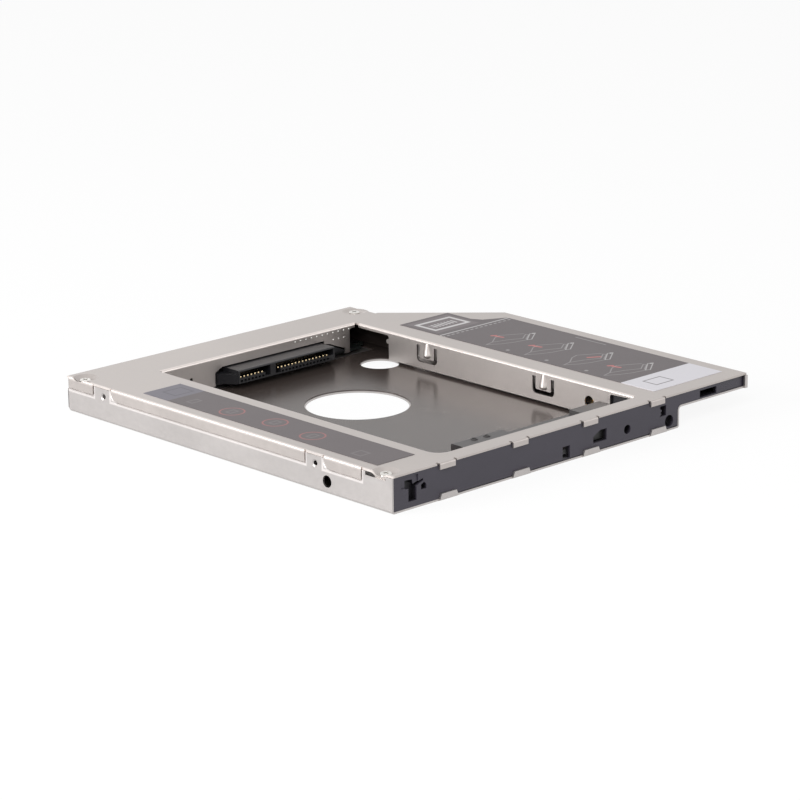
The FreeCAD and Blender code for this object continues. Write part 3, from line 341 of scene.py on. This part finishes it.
def rolled_steel(name, color, roughness, bright):
    """Bare zinc-coated sheet: cloudy tone, fine grain along the rolling direction, soft gloss.

    bright gives the places of painted highlights from x, y and z in drawing millimetres.
    """
    finish = Finish(name)
    cloud = finish.noise(45.0, detail=4.0, roughness=0.55)
    spangle = finish.noise(900.0, detail=2.0, roughness=0.5)
    grain = finish.noise(2600.0, detail=3.0, roughness=0.6, stretch=(1.0, 0.22, 1.0))
    shade = cloud.swing(0.55) + spangle.swing(0.28) + grain.swing(0.22) + 0.5
    color_map = finish.blend(shade, tone(color, 0.86), tone(color, 1.12))
    # Painted highlight: the given places are lightened to 1.5 times the steel's tone.
    painted_highlight = bright(*finish.axes(finish.drawing_point()))
    color_map = finish.blend(painted_highlight, color_map, tone(color, 1.5))
    rough = spangle.swing(0.10) + cloud.swing(0.12) + roughness
    normal = finish.bump(grain * 0.6 + spangle * 0.4, strength=0.10, distance=0.00004)
    return finish.surface(Base_Color=color_map, Metallic=0.92, Roughness=rough, Normal=normal)


def insulating_film(name, color):
    """Dark polyester film: even warm tone, slow waviness and a satin gloss."""
    finish = Finish(name)
    cloud = finish.noise(60.0, detail=3.0, roughness=0.5)
    tooth = finish.noise(4200.0, detail=2.0, roughness=0.6)
    return finish.surface(
        Base_Color=finish.blend(cloud, tone(color, 0.88), tone(color, 1.12)),
        Roughness=tooth.swing(0.10) + cloud.swing(0.06) + 0.25,
        Normal=finish.bump(cloud * 0.7 + tooth * 0.3, strength=0.12, distance=0.00008),
        IOR=1.5,
        Specular_Tint=(1.0, 0.93, 0.91, 1.0),
    )


def moulded_plastic(name, color, roughness, polished_from=None, shaded_from=None):
    """Fine spark-eroded texture on a moulding.

    The front frame also gives where its polish starts along x and its shade along y.
    """
    finish = Finish(name)
    tooth = finish.noise(5200.0, detail=3.0, roughness=0.65)
    cloud = finish.noise(110.0, detail=3.0, roughness=0.5)
    color_map = finish.blend(cloud * 0.6 + tooth * 0.4, tone(color, 0.8), tone(color, 1.2))
    rough = tooth.swing(0.14) + roughness
    height = tooth
    if polished_from is not None:
        x, y, _ = finish.axes(finish.drawing_point())
        color_map = finish.blend((shaded_from - y).inside(soft=0.1), color_map, tone(color, 0.25))
        polished = (polished_from - x).inside(soft=0.2)
        rough = rough - polished * 0.18
        height = tooth * (1.0 - polished * 0.7)
    normal = finish.bump(height, strength=0.25, distance=0.00003)
    return finish.surface(Base_Color=color_map, Roughness=rough, Normal=normal)


def plated_metal(name, color, roughness):
    """Plated or turned metal with faint marks."""
    finish = Finish(name)
    marks = finish.noise(3000.0, detail=3.0, roughness=0.6, stretch=(1.0, 1.0, 0.3))
    return finish.surface(
        Base_Color=finish.blend(marks, tone(color, 0.85), tone(color, 1.1)),
        Metallic=1.0,
        Roughness=marks.swing(0.16) + roughness,
        Normal=finish.bump(marks, strength=0.08, distance=0.00002),
    )


def solder_mask(name, color):
    """Circuit board: glossy mask with copper tracks showing as paler straight runs."""
    track_pitch = 1.1
    finish = Finish(name)
    x, y, z = finish.axes(finish.drawing_point())
    wander = finish.noise(260.0, detail=1.0, roughness=0.4)
    lane = x + z * 0.5 + y * 0.25 + wander * 1.4
    track = lane.stripes(per_unit=1.0 / track_pitch, half=0.16, soft=0.06)
    cloud = finish.noise(120.0, detail=2.0, roughness=0.5)
    ground = finish.blend(cloud, tone(color, 0.85), tone(color, 1.15))
    return finish.surface(
        Base_Color=finish.blend(track * 0.45, ground, tone(color, 2.1)),
        Roughness=cloud.swing(0.1) + 0.28,
        Normal=finish.bump(track, strength=0.25, distance=0.00003),
    )


def capacitor_ceramic(name, color, end_color):
    """Ceramic body with tinned ends, told apart by the distance from each body's middle."""
    finish = Finish(name)
    x, _, _ = finish.axes(finish.drawing_point())
    off = nearest_of(abs(x - middle) for middle in capacitor_middles)
    end = ((capacitor_half - tinned_length) - off).inside(soft=0.05)
    speckle = finish.noise(3000.0, detail=2.0, roughness=0.5)
    body = finish.blend(speckle, tone(color, 0.85), tone(color, 1.1))
    color_map = finish.blend(end, body, tone(end_color))
    return finish.surface(Base_Color=color_map, Metallic=end * 0.9, Roughness=0.5 - end * 0.15)


class Print(Finish):
    """Inks laid one after another on a dark ground, under a satin film."""

    def __init__(self, name, dark):
        super().__init__(name)
        self.x, self.y, _ = self.axes(self.drawing_point())
        cloud = self.noise(150.0, detail=2.0, roughness=0.5)
        self.laid = self.blend(cloud, tone(dark, 0.95), tone(dark, 1.05))

    def ink(self, color, mask, density=1.0):
        """Covers what is laid where the mask is 1, as fully as the density says."""
        self.laid = self.blend(mask * density, self.laid, color)

    def filmed(self):
        """Ends the print with its film."""
        tooth = self.noise(3800.0, detail=2.0, roughness=0.6)
        return self.surface(
            Base_Color=self.laid,
            Roughness=tooth.swing(0.1) + 0.42,
            Normal=self.bump(tooth, strength=0.06, distance=0.00002),
            Specular_IOR_Level=0.25,
        )


def left_print(name, dark, blue_grey, mark, red):
    """Dark strip with three red rings, and a blue-grey end that holds a small square outline."""
    work = Print(name, dark)
    x, y = work.x, work.y
    end_start = 88.5
    work.ink(tone(blue_grey), (end_start - y).inside(soft=0.1))
    square = rectangle_gap(x, y, (8.0, 90.6), (14.0, 95.6))
    work.ink(tone(blue_grey, 0.45), square.band(half=0.3, soft=0.2), density=0.5)
    ring_radius, core_half = 3.2, np.array([1.3, 0.9])
    for centre in np.array([[8.9, 69.1], [10.2, 54.0], [9.1, 38.7]]):
        ring = circle_gap(x, y, centre, ring_radius)
        work.ink(tone(red), ring.band(half=0.2, soft=0.3), density=0.36)
        core = rectangle_gap(x, y, centre - core_half, centre + core_half)
        work.ink(tone(mark), core.band(half=0.15, soft=0.4), density=0.16)
    for low, high in (((6.6, 82.2), (9.8, 84.2)), ((6.0, 18.0), (9.2, 21.2))):
        work.ink(tone(mark), rectangle_gap(x, y, low, high).band(half=0.15, soft=0.5), density=0.16)
    return work.filmed()


def right_print(name, dark, pale, mark, red):
    """Pale end with a drive outline, four line drawings of a base unit, and a connector sign."""
    work = Print(name, dark)
    ink_drawings(work, mark, red)

    # Pale end with the outline of a drive.
    x, y = work.x, work.y
    pale_end = 17.2
    work.ink(tone(pale), (y - pale_end).inside(soft=0.1))
    case = rectangle_gap(x, y, (102.6, 9.2), (109.0, 14.0))
    work.ink(tone(dark, 0.55), case.band(half=0.2, soft=0.15), density=0.85)

    # Rear block: a rule and a row of dashes, then a dark panel round a plain connector sign.
    rule, dash_row = 84.75, 83.2
    work.ink(tone(mark), (y - rule).band(half=0.28, soft=0.12), density=0.8)
    dashes = x.stripes(per_unit=0.55, half=0.3, soft=0.1) * (y - dash_row).band(half=0.3, soft=0.15)
    work.ink(tone(mark), dashes, density=0.45)
    panel = rectangle_gap(x, y, (98.9, 86.9), (114.6, 99.7))
    work.ink(tone(dark, 1.5), panel.inside(soft=0.15), density=0.85)
    shell = rectangle_gap(x, y, (100.4, 89.6), (113.0, 97.2))
    work.ink(tone(mark, 1.1), shell.band(half=0.55, soft=0.2), density=0.9)
    tongue = rectangle_gap(x, y, (102.0, 91.6), (111.6, 94.4))
    teeth = x.stripes(per_unit=0.8, half=0.24, soft=0.12) * tongue.inside(soft=0.15)
    work.ink(tone(mark, 1.1), teeth, density=0.9)
    return work.filmed()


def ink_drawings(work, mark, red):
    """Four line drawings in a row along y, with red strokes, tabs, dots and a margin line.

    The drawings repeat at one pitch, so the place within a pitch stands for y.
    """
    x, y = work.x, work.y
    pitch, first, count = 14.6, 24.9, 4
    turn = ((y - (first - pitch / 2.0)) * (1.0 / pitch)).fraction()
    local_y = turn * pitch - pitch / 2.0
    local = work.flat(x, local_y)
    in_rows = (y - (first + pitch * (count - 1) / 2.0)).band(half=pitch * count / 2.0, soft=0.05)
    second_row = (y - (first + pitch)).band(half=pitch / 2.0, soft=0.05)

    rim = [(114.9, 1.0), (108.9, 4.4), (106.3, 3.6), (102.6, 0.9), (99.5, 0.15)]
    sill = [(102.6, 0.8), (107.1, -0.4), (111.2, -2.3)]
    apron = [(99.5, 0.15), (103.0, -2.1), (106.5, -3.4), (111.1, -4.2)]
    latch = [(111.2, -2.3), (114.8, 0.2), (115.0, -0.8), (111.3, -3.4)]
    drive = [(111.0, -4.1), (116.1, -0.2), (117.7, -0.7), (112.2, -4.7), (111.0, -4.1)]
    unit = drawn_lines(work, local, (rim, sill, apron, latch), half=0.15, soft=0.2)
    work.ink(tone(mark), unit * in_rows, density=0.34)
    outlined = drawn_lines(work, local, (drive,), half=0.15, soft=0.16)
    work.ink(tone(mark), outlined * in_rows, density=0.62)

    outer_lines = ([(107.2, 5.7), (108.1, 5.1)], [(107.6, 4.4), (108.2, 2.5)])
    inner_line = [(109.4, 0.7), (112.2, -1.1)]
    outer_red = drawn_lines(work, local, outer_lines, half=0.45, soft=0.35)
    inner_red = drawn_lines(work, local, (inner_line,), half=0.4, soft=0.35)
    strokes = outer_red * (1.0 - second_row) + inner_red * second_row
    work.ink(tone(red), strokes * in_rows, density=0.62)

    tab = rectangle_gap(x, local_y, (116.5, -1.0), (117.3, -0.3)).inside(soft=0.15)
    work.ink(tone(mark, 1.2), tab * in_rows, density=0.6)
    dot = circle_gap(x, local_y, (99.7, 6.7), radius=0.55).inside(soft=0.4)
    dotted_middle, dotted_half = 46.0, 18.0
    work.ink(tone(mark), dot * (y - dotted_middle).band(half=dotted_half, soft=0.1), density=0.45)
    margin = rectangle_gap(x, y, (122.0, 45.6), (122.4, 57.0))
    work.ink(tone(mark), margin.inside(soft=0.15), density=0.35)


def dress(node, material):
    """Gives a frame node one finish."""
    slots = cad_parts[node].data.materials
    slots.clear()
    slots.append(material)


def ring_faces(rows, columns, start=0):
    """Corner numbers of the quads of a grid stored row by row, whose rows close on themselves."""
    i, j = np.meshgrid(np.arange(rows - 1), np.arange(columns), indexing="ij")
    k = (j + 1) % columns
    here, above = i * columns, (i + 1) * columns
    return np.stack([here + j, above + j, above + k, here + k], -1).reshape(-1, 4) + start


def new_piece(name, points, faces, material, smooth=True):
    """Mesh object at the origin from drawing millimetres and a list of faces."""
    mesh = bpy.data.meshes.new(name)
    mesh.from_pydata(placed(points).tolist(), [], faces)
    mesh.validate()
    mesh.polygons.foreach_set("use_smooth", [smooth] * len(mesh.polygons))
    mesh.materials.append(material)
    piece = bpy.data.objects.new(name, mesh)
    bpy.context.scene.collection.objects.link(piece)
    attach(piece, "root")
    return piece


def formed_springs(first, count, bow):
    """Leaf springs: a flat section carried along a bowed line over the slot's floor.

    With t from 0 to 1 along the slot, y = front + length t and the leaf's middle stands above the
    floor by half its thickness plus bow times sin(pi t^0.45). The section is a rectangle, and its
    stations stand closer together near the front, where the leaf bends most.
    """
    stations = 21
    t = np.linspace(0.0, 1.0, stations) ** 1.5
    middle = slot_floor + spring_thickness / 2.0 + bow * np.sin(np.pi * t ** 0.45)
    section = np.array([[-0.5, -0.5], [0.5, -0.5], [0.5, 0.5], [-0.5, 0.5]])
    centres = first + contact_pitch * np.arange(count)
    shape = (count, stations, len(section))
    x = centres[:, None, None] + spring_width * np.broadcast_to(section[:, 0], shape)
    y = np.broadcast_to((slot_front + slot_length * t)[None, :, None], shape)
    z = middle[None, :, None] + spring_thickness * np.broadcast_to(section[:, 1], shape)
    points = np.stack([x, y, z], -1).reshape(-1, 3)
    size = stations * len(section)
    faces = []
    for start in range(0, count * size, size):
        end = start + size
        faces += ring_faces(stations, len(section), start).tolist()
        faces.append([start, start + 1, start + 2, start + 3])
        faces.append([end - 1, end - 2, end - 3, end - 4])
    return points, faces


def wall_pips(places, radius):
    """Rows of low round pips on an upright wall.

    With r from 0 to 1 and angle a: x = radius r cos a, z = radius r sin a, and the pip stands
    rise (1 - r^2) out of the wall toward the front.
    """
    rings, sectors = 5, 14
    r = np.linspace(0.0, 1.0, rings)
    a = np.linspace(0.0, 2.0 * np.pi, sectors, endpoint=False)
    places = np.asarray(places, float)
    shape = (len(places), rings, sectors)
    x = places[:, 0][:, None, None] + radius * r[None, :, None] * np.cos(a)[None, None, :]
    z = places[:, 1][:, None, None] + radius * r[None, :, None] * np.sin(a)[None, None, :]
    y = np.broadcast_to(rear_wall_face - pip_rise * (1.0 - r ** 2)[None, :, None], shape)
    points = np.stack([x, y, z], -1).reshape(-1, 3)
    size = rings * sectors
    faces = [ring_faces(rings, sectors, index * size) for index in range(len(places))]
    return points, np.concatenate(faces)[:, ::-1].tolist()


def inner_thread(pitch):
    """Thread in the bush, whose axis is x.

    The radius falls from the bore by depth times a rounded triangle wave of (x / pitch - a / 2 pi),
    so that the crest runs round as a helix. The wave fades out over a short run at both ends.
    """
    stations, sectors, fade_run = 61, 36, 0.25
    along = np.linspace(0.0, bush_length, stations)
    a = np.linspace(0.0, 2.0 * np.pi, sectors, endpoint=False)
    phase = along[:, None] / pitch - a[None, :] / (2.0 * np.pi)
    wave = 0.5 + 0.5 * np.cos(2.0 * np.pi * phase)
    fade = np.clip(np.minimum(along, bush_length - along) / fade_run, 0.0, 1.0)[:, None]
    radius = bush_bore - thread_depth * wave * fade
    x = np.broadcast_to(bush_start + along[:, None], radius.shape)
    y = bush_axis[0] + radius * np.cos(a)
    z = bush_axis[1] + radius * np.sin(a)
    points = np.stack([x, y, z], -1).reshape(-1, 3)
    return points, ring_faces(stations, sectors)[:, ::-1].tolist()


# What all colours share, and what all lengths share.
color_kind = {"subtype": "COLOR", "size": 3, "min": 0.0, "max": 1.0}
length_kind = {"subtype": "DISTANCE", "unit": "LENGTH", "precision": 5}


class CaddyColors(bpy.types.PropertyGroup):
    """Colours of the finishes, as scene-linear values."""

    cover_steel: FloatVectorProperty(
        name="Cover steel", description="Tone of the cover", default=(0.47, 0.432, 0.412),
        **color_kind,
    )
    tray_steel: FloatVectorProperty(
        name="Tray steel", description="Tone of the lower sheet", default=(0.48, 0.453, 0.442),
        **color_kind,
    )
    film: FloatVectorProperty(
        name="Film", description="Tone of the insulating film", default=(0.050, 0.039, 0.035),
        **color_kind,
    )
    moulding: FloatVectorProperty(
        name="Moulding", description="Tone of the front frame", default=(0.030, 0.026, 0.038),
        **color_kind,
    )
    stop: FloatVectorProperty(
        name="Drive stop", description="Tone of the drive stop", default=(0.040, 0.036, 0.036),
        **color_kind,
    )
    connector: FloatVectorProperty(
        name="Connector", description="Tone of the connectors' plastic",
        default=(0.012, 0.012, 0.014), **color_kind,
    )
    switch: FloatVectorProperty(
        name="Switch", description="Tone of the switch's body", default=(0.012, 0.012, 0.012),
        **color_kind,
    )
    gold: FloatVectorProperty(
        name="Gold", description="Tone of the contacts", default=(0.76, 0.60, 0.36), **color_kind,
    )
    brass: FloatVectorProperty(
        name="Brass", description="Tone of the bush", default=(0.80, 0.57, 0.29), **color_kind,
    )
    nickel: FloatVectorProperty(
        name="Nickel", description="Tone of the screws", default=(0.70, 0.68, 0.65), **color_kind,
    )
    tin: FloatVectorProperty(
        name="Tin", description="Tone of the pips", default=(0.85, 0.83, 0.80), **color_kind,
    )
    board: FloatVectorProperty(
        name="Board", description="Tone of the dark solder mask", default=(0.010, 0.013, 0.012),
        **color_kind,
    )
    ceramic: FloatVectorProperty(
        name="Ceramic", description="Tone of the capacitors", default=(0.5, 0.36, 0.24),
        **color_kind,
    )
    ceramic_end: FloatVectorProperty(
        name="Capacitor end", description="Tone of the capacitors' tinned ends",
        default=(0.7, 0.7, 0.68), **color_kind,
    )
    dark_ink: FloatVectorProperty(
        name="Dark ink", description="Dark ground of the stickers", default=(0.094, 0.079, 0.082),
        **color_kind,
    )
    pale_ink: FloatVectorProperty(
        name="Pale ink", description="Pale end of the right sticker", default=(0.60, 0.585, 0.62),
        **color_kind,
    )
    blue_ink: FloatVectorProperty(
        name="Blue-grey ink", description="End of the left sticker", default=(0.130, 0.122, 0.146),
        **color_kind,
    )
    mark_ink: FloatVectorProperty(
        name="Mark ink", description="Lines and outlines of the print", default=(0.52, 0.51, 0.51),
        **color_kind,
    )
    red_ink: FloatVectorProperty(
        name="Red ink", description="Red parts of the print", default=(0.62, 0.16, 0.15),
        **color_kind,
    )


class CaddySizes(bpy.types.PropertyGroup):
    """Sizes of the small formed pieces, in metres."""

    spring_bow: FloatProperty(
        name="Spring bow", description="How far a contact bows from the floor of its slot",
        default=0.00034, min=0.0, max=0.0008, **length_kind,
    )
    pip_radius: FloatProperty(
        name="Pip radius", description="Radius of the pips on the bay's rear wall",
        default=0.00028, min=0.00005, max=0.0006, **length_kind,
    )
    pip_pitch: FloatProperty(
        name="Pip pitch", description="Distance between pips",
        default=0.002, min=0.001, max=0.004, **length_kind,
    )
    pip_count: IntProperty(
        name="Pips", description="Pips in the upper row", default=11, min=1, max=30,
    )
    thread_pitch: FloatProperty(
        name="Thread pitch", description="Pitch of the bush's thread",
        default=0.0005, min=0.0002, max=0.001, **length_kind,
    )


def colors():
    return bpy.context.scene.caddy_colors


def sizes():
    return bpy.context.scene.caddy_sizes


class CADDY_OT_sheet_metal(bpy.types.Operator):
    """Finish both folded sheets, with painted highlights on the cover's folds and the tray's pocket
    lips
    """

    bl_idname = "caddy.sheet_metal"
    bl_label = "Sheet Metal"

    def execute(self, context):
        look = colors()
        for node, name, color, roughness, bright in (
            ("bottom_tray", "tray_steel", look.tray_steel, 0.38, pocket_lip_highlights),
            ("top_cover", "cover_steel", look.cover_steel, 0.40, cover_fold_highlights),
        ):
            dress(node, rolled_steel(name, color, roughness, bright))
        return {"FINISHED"}


class CADDY_OT_film(bpy.types.Operator):
    """Finish the insulating film"""

    bl_idname = "caddy.film"
    bl_label = "Film"

    def execute(self, context):
        dress("floor_film", insulating_film("floor_film", colors().film))
        return {"FINISHED"}


class CADDY_OT_mouldings(bpy.types.Operator):
    """Finish the front frame and the drive stop"""

    bl_idname = "caddy.mouldings"
    bl_label = "Mouldings"

    def execute(self, context):
        look = colors()
        starts = {"polished_from": wing_end_start, "shaded_from": slot_shade_start}
        plastic = moulded_plastic("frame_plastic", look.moulding, roughness=0.46, **starts)
        dress("front_frame", plastic)
        dress("drive_stop", moulded_plastic("stop_plastic", look.stop, roughness=0.42))
        return {"FINISHED"}


class CADDY_OT_connectors(bpy.types.Operator):
    """Finish both connectors and form the drive connector's springs"""

    bl_idname = "caddy.connectors"
    bl_label = "Connectors"

    def execute(self, context):
        plastic = moulded_plastic("connector_plastic", colors().connector, roughness=0.34)
        dress("drive_connector", plastic)
        dress("host_plug", plastic)
        gold = plated_metal("contact_gold", colors().gold, roughness=0.26)
        dress("host_contacts", gold)
        bow = sizes().spring_bow * mm_per_metre
        for name, node, first, count in (
            ("signal_springs", "signal_contacts", signal_first, signal_count),
            ("power_springs", "power_contacts", power_first, power_count),
        ):
            points, faces = formed_springs(first, count, bow)
            piece = new_piece(name, points, faces, gold, smooth=False)
            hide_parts(node)
        return {"FINISHED"}


class CADDY_OT_boards(bpy.types.Operator):
    """Finish both circuit boards and what they carry"""

    bl_idname = "caddy.boards"
    bl_label = "Boards"

    def execute(self, context):
        look = colors()
        dress("adapter_board", solder_mask("board_mask", look.board))
        dress("indicator_board", solder_mask("indicator_mask", look.board))
        dress("indicator_switch", moulded_plastic("switch_body", look.switch, roughness=0.4))
        dress("board_capacitors", capacitor_ceramic("ceramic", look.ceramic, look.ceramic_end))
        return {"FINISHED"}


class CADDY_OT_fasteners(bpy.types.Operator):
    """Finish the screws and the brass bush, and cut the bush's thread"""

    bl_idname = "caddy.fasteners"
    bl_label = "Fasteners"

    def execute(self, context):
        nickel = plated_metal("screw_nickel", colors().nickel, roughness=0.24)
        dress("cover_screws", nickel)
        dress("board_screws", nickel)
        brass = plated_metal("bush_brass", colors().brass, roughness=0.3)
        dress("lock_insert", brass)
        points, faces = inner_thread(sizes().thread_pitch * mm_per_metre)
        new_piece("bush_thread", points, faces, brass)
        return {"FINISHED"}


class CADDY_OT_stickers(bpy.types.Operator):
    """Print both stickers with plain shapes"""

    bl_idname = "caddy.stickers"
    bl_label = "Stickers"

    def execute(self, context):
        look = colors()
        dark, mark, red = look.dark_ink, look.mark_ink, look.red_ink
        dress("left_sticker", left_print("left_print", dark, look.blue_ink, mark, red))
        dress("right_sticker", right_print("right_print", dark, look.pale_ink, mark, red))
        return {"FINISHED"}


class CADDY_OT_wall_pips(bpy.types.Operator):
    """Add the rows of small pips on the bay's rear wall"""

    bl_idname = "caddy.wall_pips"
    bl_label = "Wall Pips"

    def execute(self, context):
        size = sizes()
        pitch = size.pip_pitch * mm_per_metre
        places = []
        for (x, z), count in ((upper_pips, size.pip_count), (lower_pips, lower_pip_count)):
            places += [(x + pitch * index, z) for index in range(count)]
        tin = plated_metal("pip_tin", colors().tin, roughness=0.3)
        points, faces = wall_pips(places, size.pip_radius * mm_per_metre)
        new_piece("rear_wall_pips", points, faces, tin)
        return {"FINISHED"}


def turned(right, up, back, place):
    """Matrix of a lamp or camera from its own directions and its place in metres."""
    basis = np.eye(4)
    basis[:3, 0], basis[:3, 1], basis[:3, 2], basis[:3, 3] = right, up, back, place
    return Matrix(basis.tolist())


def soft_box(name, place, side, power):
    """Square area lamp that faces the part's middle."""
    lamp = bpy.data.lights.new(name, "AREA")
    lamp.shape = "SQUARE"
    lamp.size = side
    lamp.energy = power
    holder = bpy.data.objects.new(name, lamp)
    bpy.context.scene.collection.objects.link(holder)
    back = np.array(place) / np.linalg.norm(place)
    right = np.cross((0.0, 0.0, 1.0), back)
    right /= np.linalg.norm(right)
    holder.matrix_world = turned(right, np.cross(back, right), back, place)


class CADDY_OT_stage(bpy.types.Operator):
    """Add the floor, the soft light and the camera"""

    bl_idname = "caddy.stage"
    bl_label = "Stage"

    def execute(self, context):
        scene = context.scene
        scene.view_settings.view_transform = "Standard"
        self.add_world(scene)
        self.add_floor(scene)
        for name, place, side, power in soft_boxes:
            soft_box(name, place, side, power)
        self.add_camera(scene)
        return {"FINISHED"}

    def add_world(self, scene):
        """Even light from all round, which is white where it is seen."""
        world = bpy.data.worlds.new("studio")
        world.use_nodes = True
        scene.world = world
        nodes = Nodes(world.node_tree)
        inputs = {"Color": (1.0, 1.0, 1.0, 1.0), "Strength": nodes.when_seen(0.5, 1.0)}
        background = nodes.node("ShaderNodeBackground", None, inputs)
        nodes.node("ShaderNodeOutputWorld", None, {"Surface": nodes.read(background)})

    def add_floor(self, scene):
        """Pale floor that keeps the part's shadow and glows where it is seen."""
        mesh = bpy.data.meshes.new("floor")
        corners = np.array([(-1.0, -1.0, 0.0), (1.0, -1.0, 0.0), (1.0, 1.0, 0.0), (-1.0, 1.0, 0.0)])
        mesh.from_pydata((corners * floor_half).tolist(), [], [(0, 1, 2, 3)])
        floor = bpy.data.objects.new("floor", mesh)
        scene.collection.objects.link(floor)
        finish = Finish("floor_white")
        paint = finish.node("ShaderNodeBsdfDiffuse", None, {"Color": (0.93, 0.93, 0.93, 1.0)})
        glow = finish.node("ShaderNodeEmission")
        inputs = {0: finish.when_seen(0.0, 0.88), 1: finish.read(paint), 2: finish.read(glow)}
        mesh.materials.append(finish.output(finish.node("ShaderNodeMixShader", None, inputs)))

    def add_camera(self, scene):
        lens = bpy.data.cameras.new("camera")
        lens.sensor_width = sensor_width
        lens.lens = focal_pixels * sensor_width / frame_pixels
        lens.clip_start = 0.01
        lens.clip_end = 50.0
        camera = bpy.data.objects.new("camera", lens)
        scene.collection.objects.link(camera)
        camera.matrix_world = turned(view_right, -view_down, -view_forward, placed(view_place))
        scene.camera = camera


class CADDY_PT_panel(bpy.types.Panel):
    """Lists the steps"""

    bl_idname = "CADDY_PT_panel"
    bl_label = "Drive Caddy"
    bl_space_type = "VIEW_3D"
    bl_region_type = "UI"
    bl_category = "Caddy"

    def draw(self, context):
        for step in steps:
            self.layout.operator(step.bl_idname)
        for group in (context.scene.caddy_sizes, context.scene.caddy_colors):
            for key in group.__annotations__:
                self.layout.prop(group, key)


steps = (
    CADDY_OT_sheet_metal,
    CADDY_OT_film,
    CADDY_OT_mouldings,
    CADDY_OT_connectors,
    CADDY_OT_boards,
    CADDY_OT_fasteners,
    CADDY_OT_stickers,
    CADDY_OT_wall_pips,
    CADDY_OT_stage,
)
registered = (CaddyColors, CaddySizes, *steps, CADDY_PT_panel)


def register():
    for cls in registered:
        bpy.utils.register_class(cls)
    bpy.types.Scene.caddy_colors = PointerProperty(type=CaddyColors)
    bpy.types.Scene.caddy_sizes = PointerProperty(type=CaddySizes)


def unregister():
    del bpy.types.Scene.caddy_colors
    del bpy.types.Scene.caddy_sizes
    for cls in reversed(registered):
        bpy.utils.unregister_class(cls)


def main():
    register()
    bpy.ops.caddy.sheet_metal()
    bpy.ops.caddy.film()
    bpy.ops.caddy.mouldings()
    bpy.ops.caddy.connectors()
    bpy.ops.caddy.boards()
    bpy.ops.caddy.fasteners()
    bpy.ops.caddy.stickers()
    bpy.ops.caddy.wall_pips()
    bpy.ops.caddy.stage()


if __name__ == "__main__":
    main()
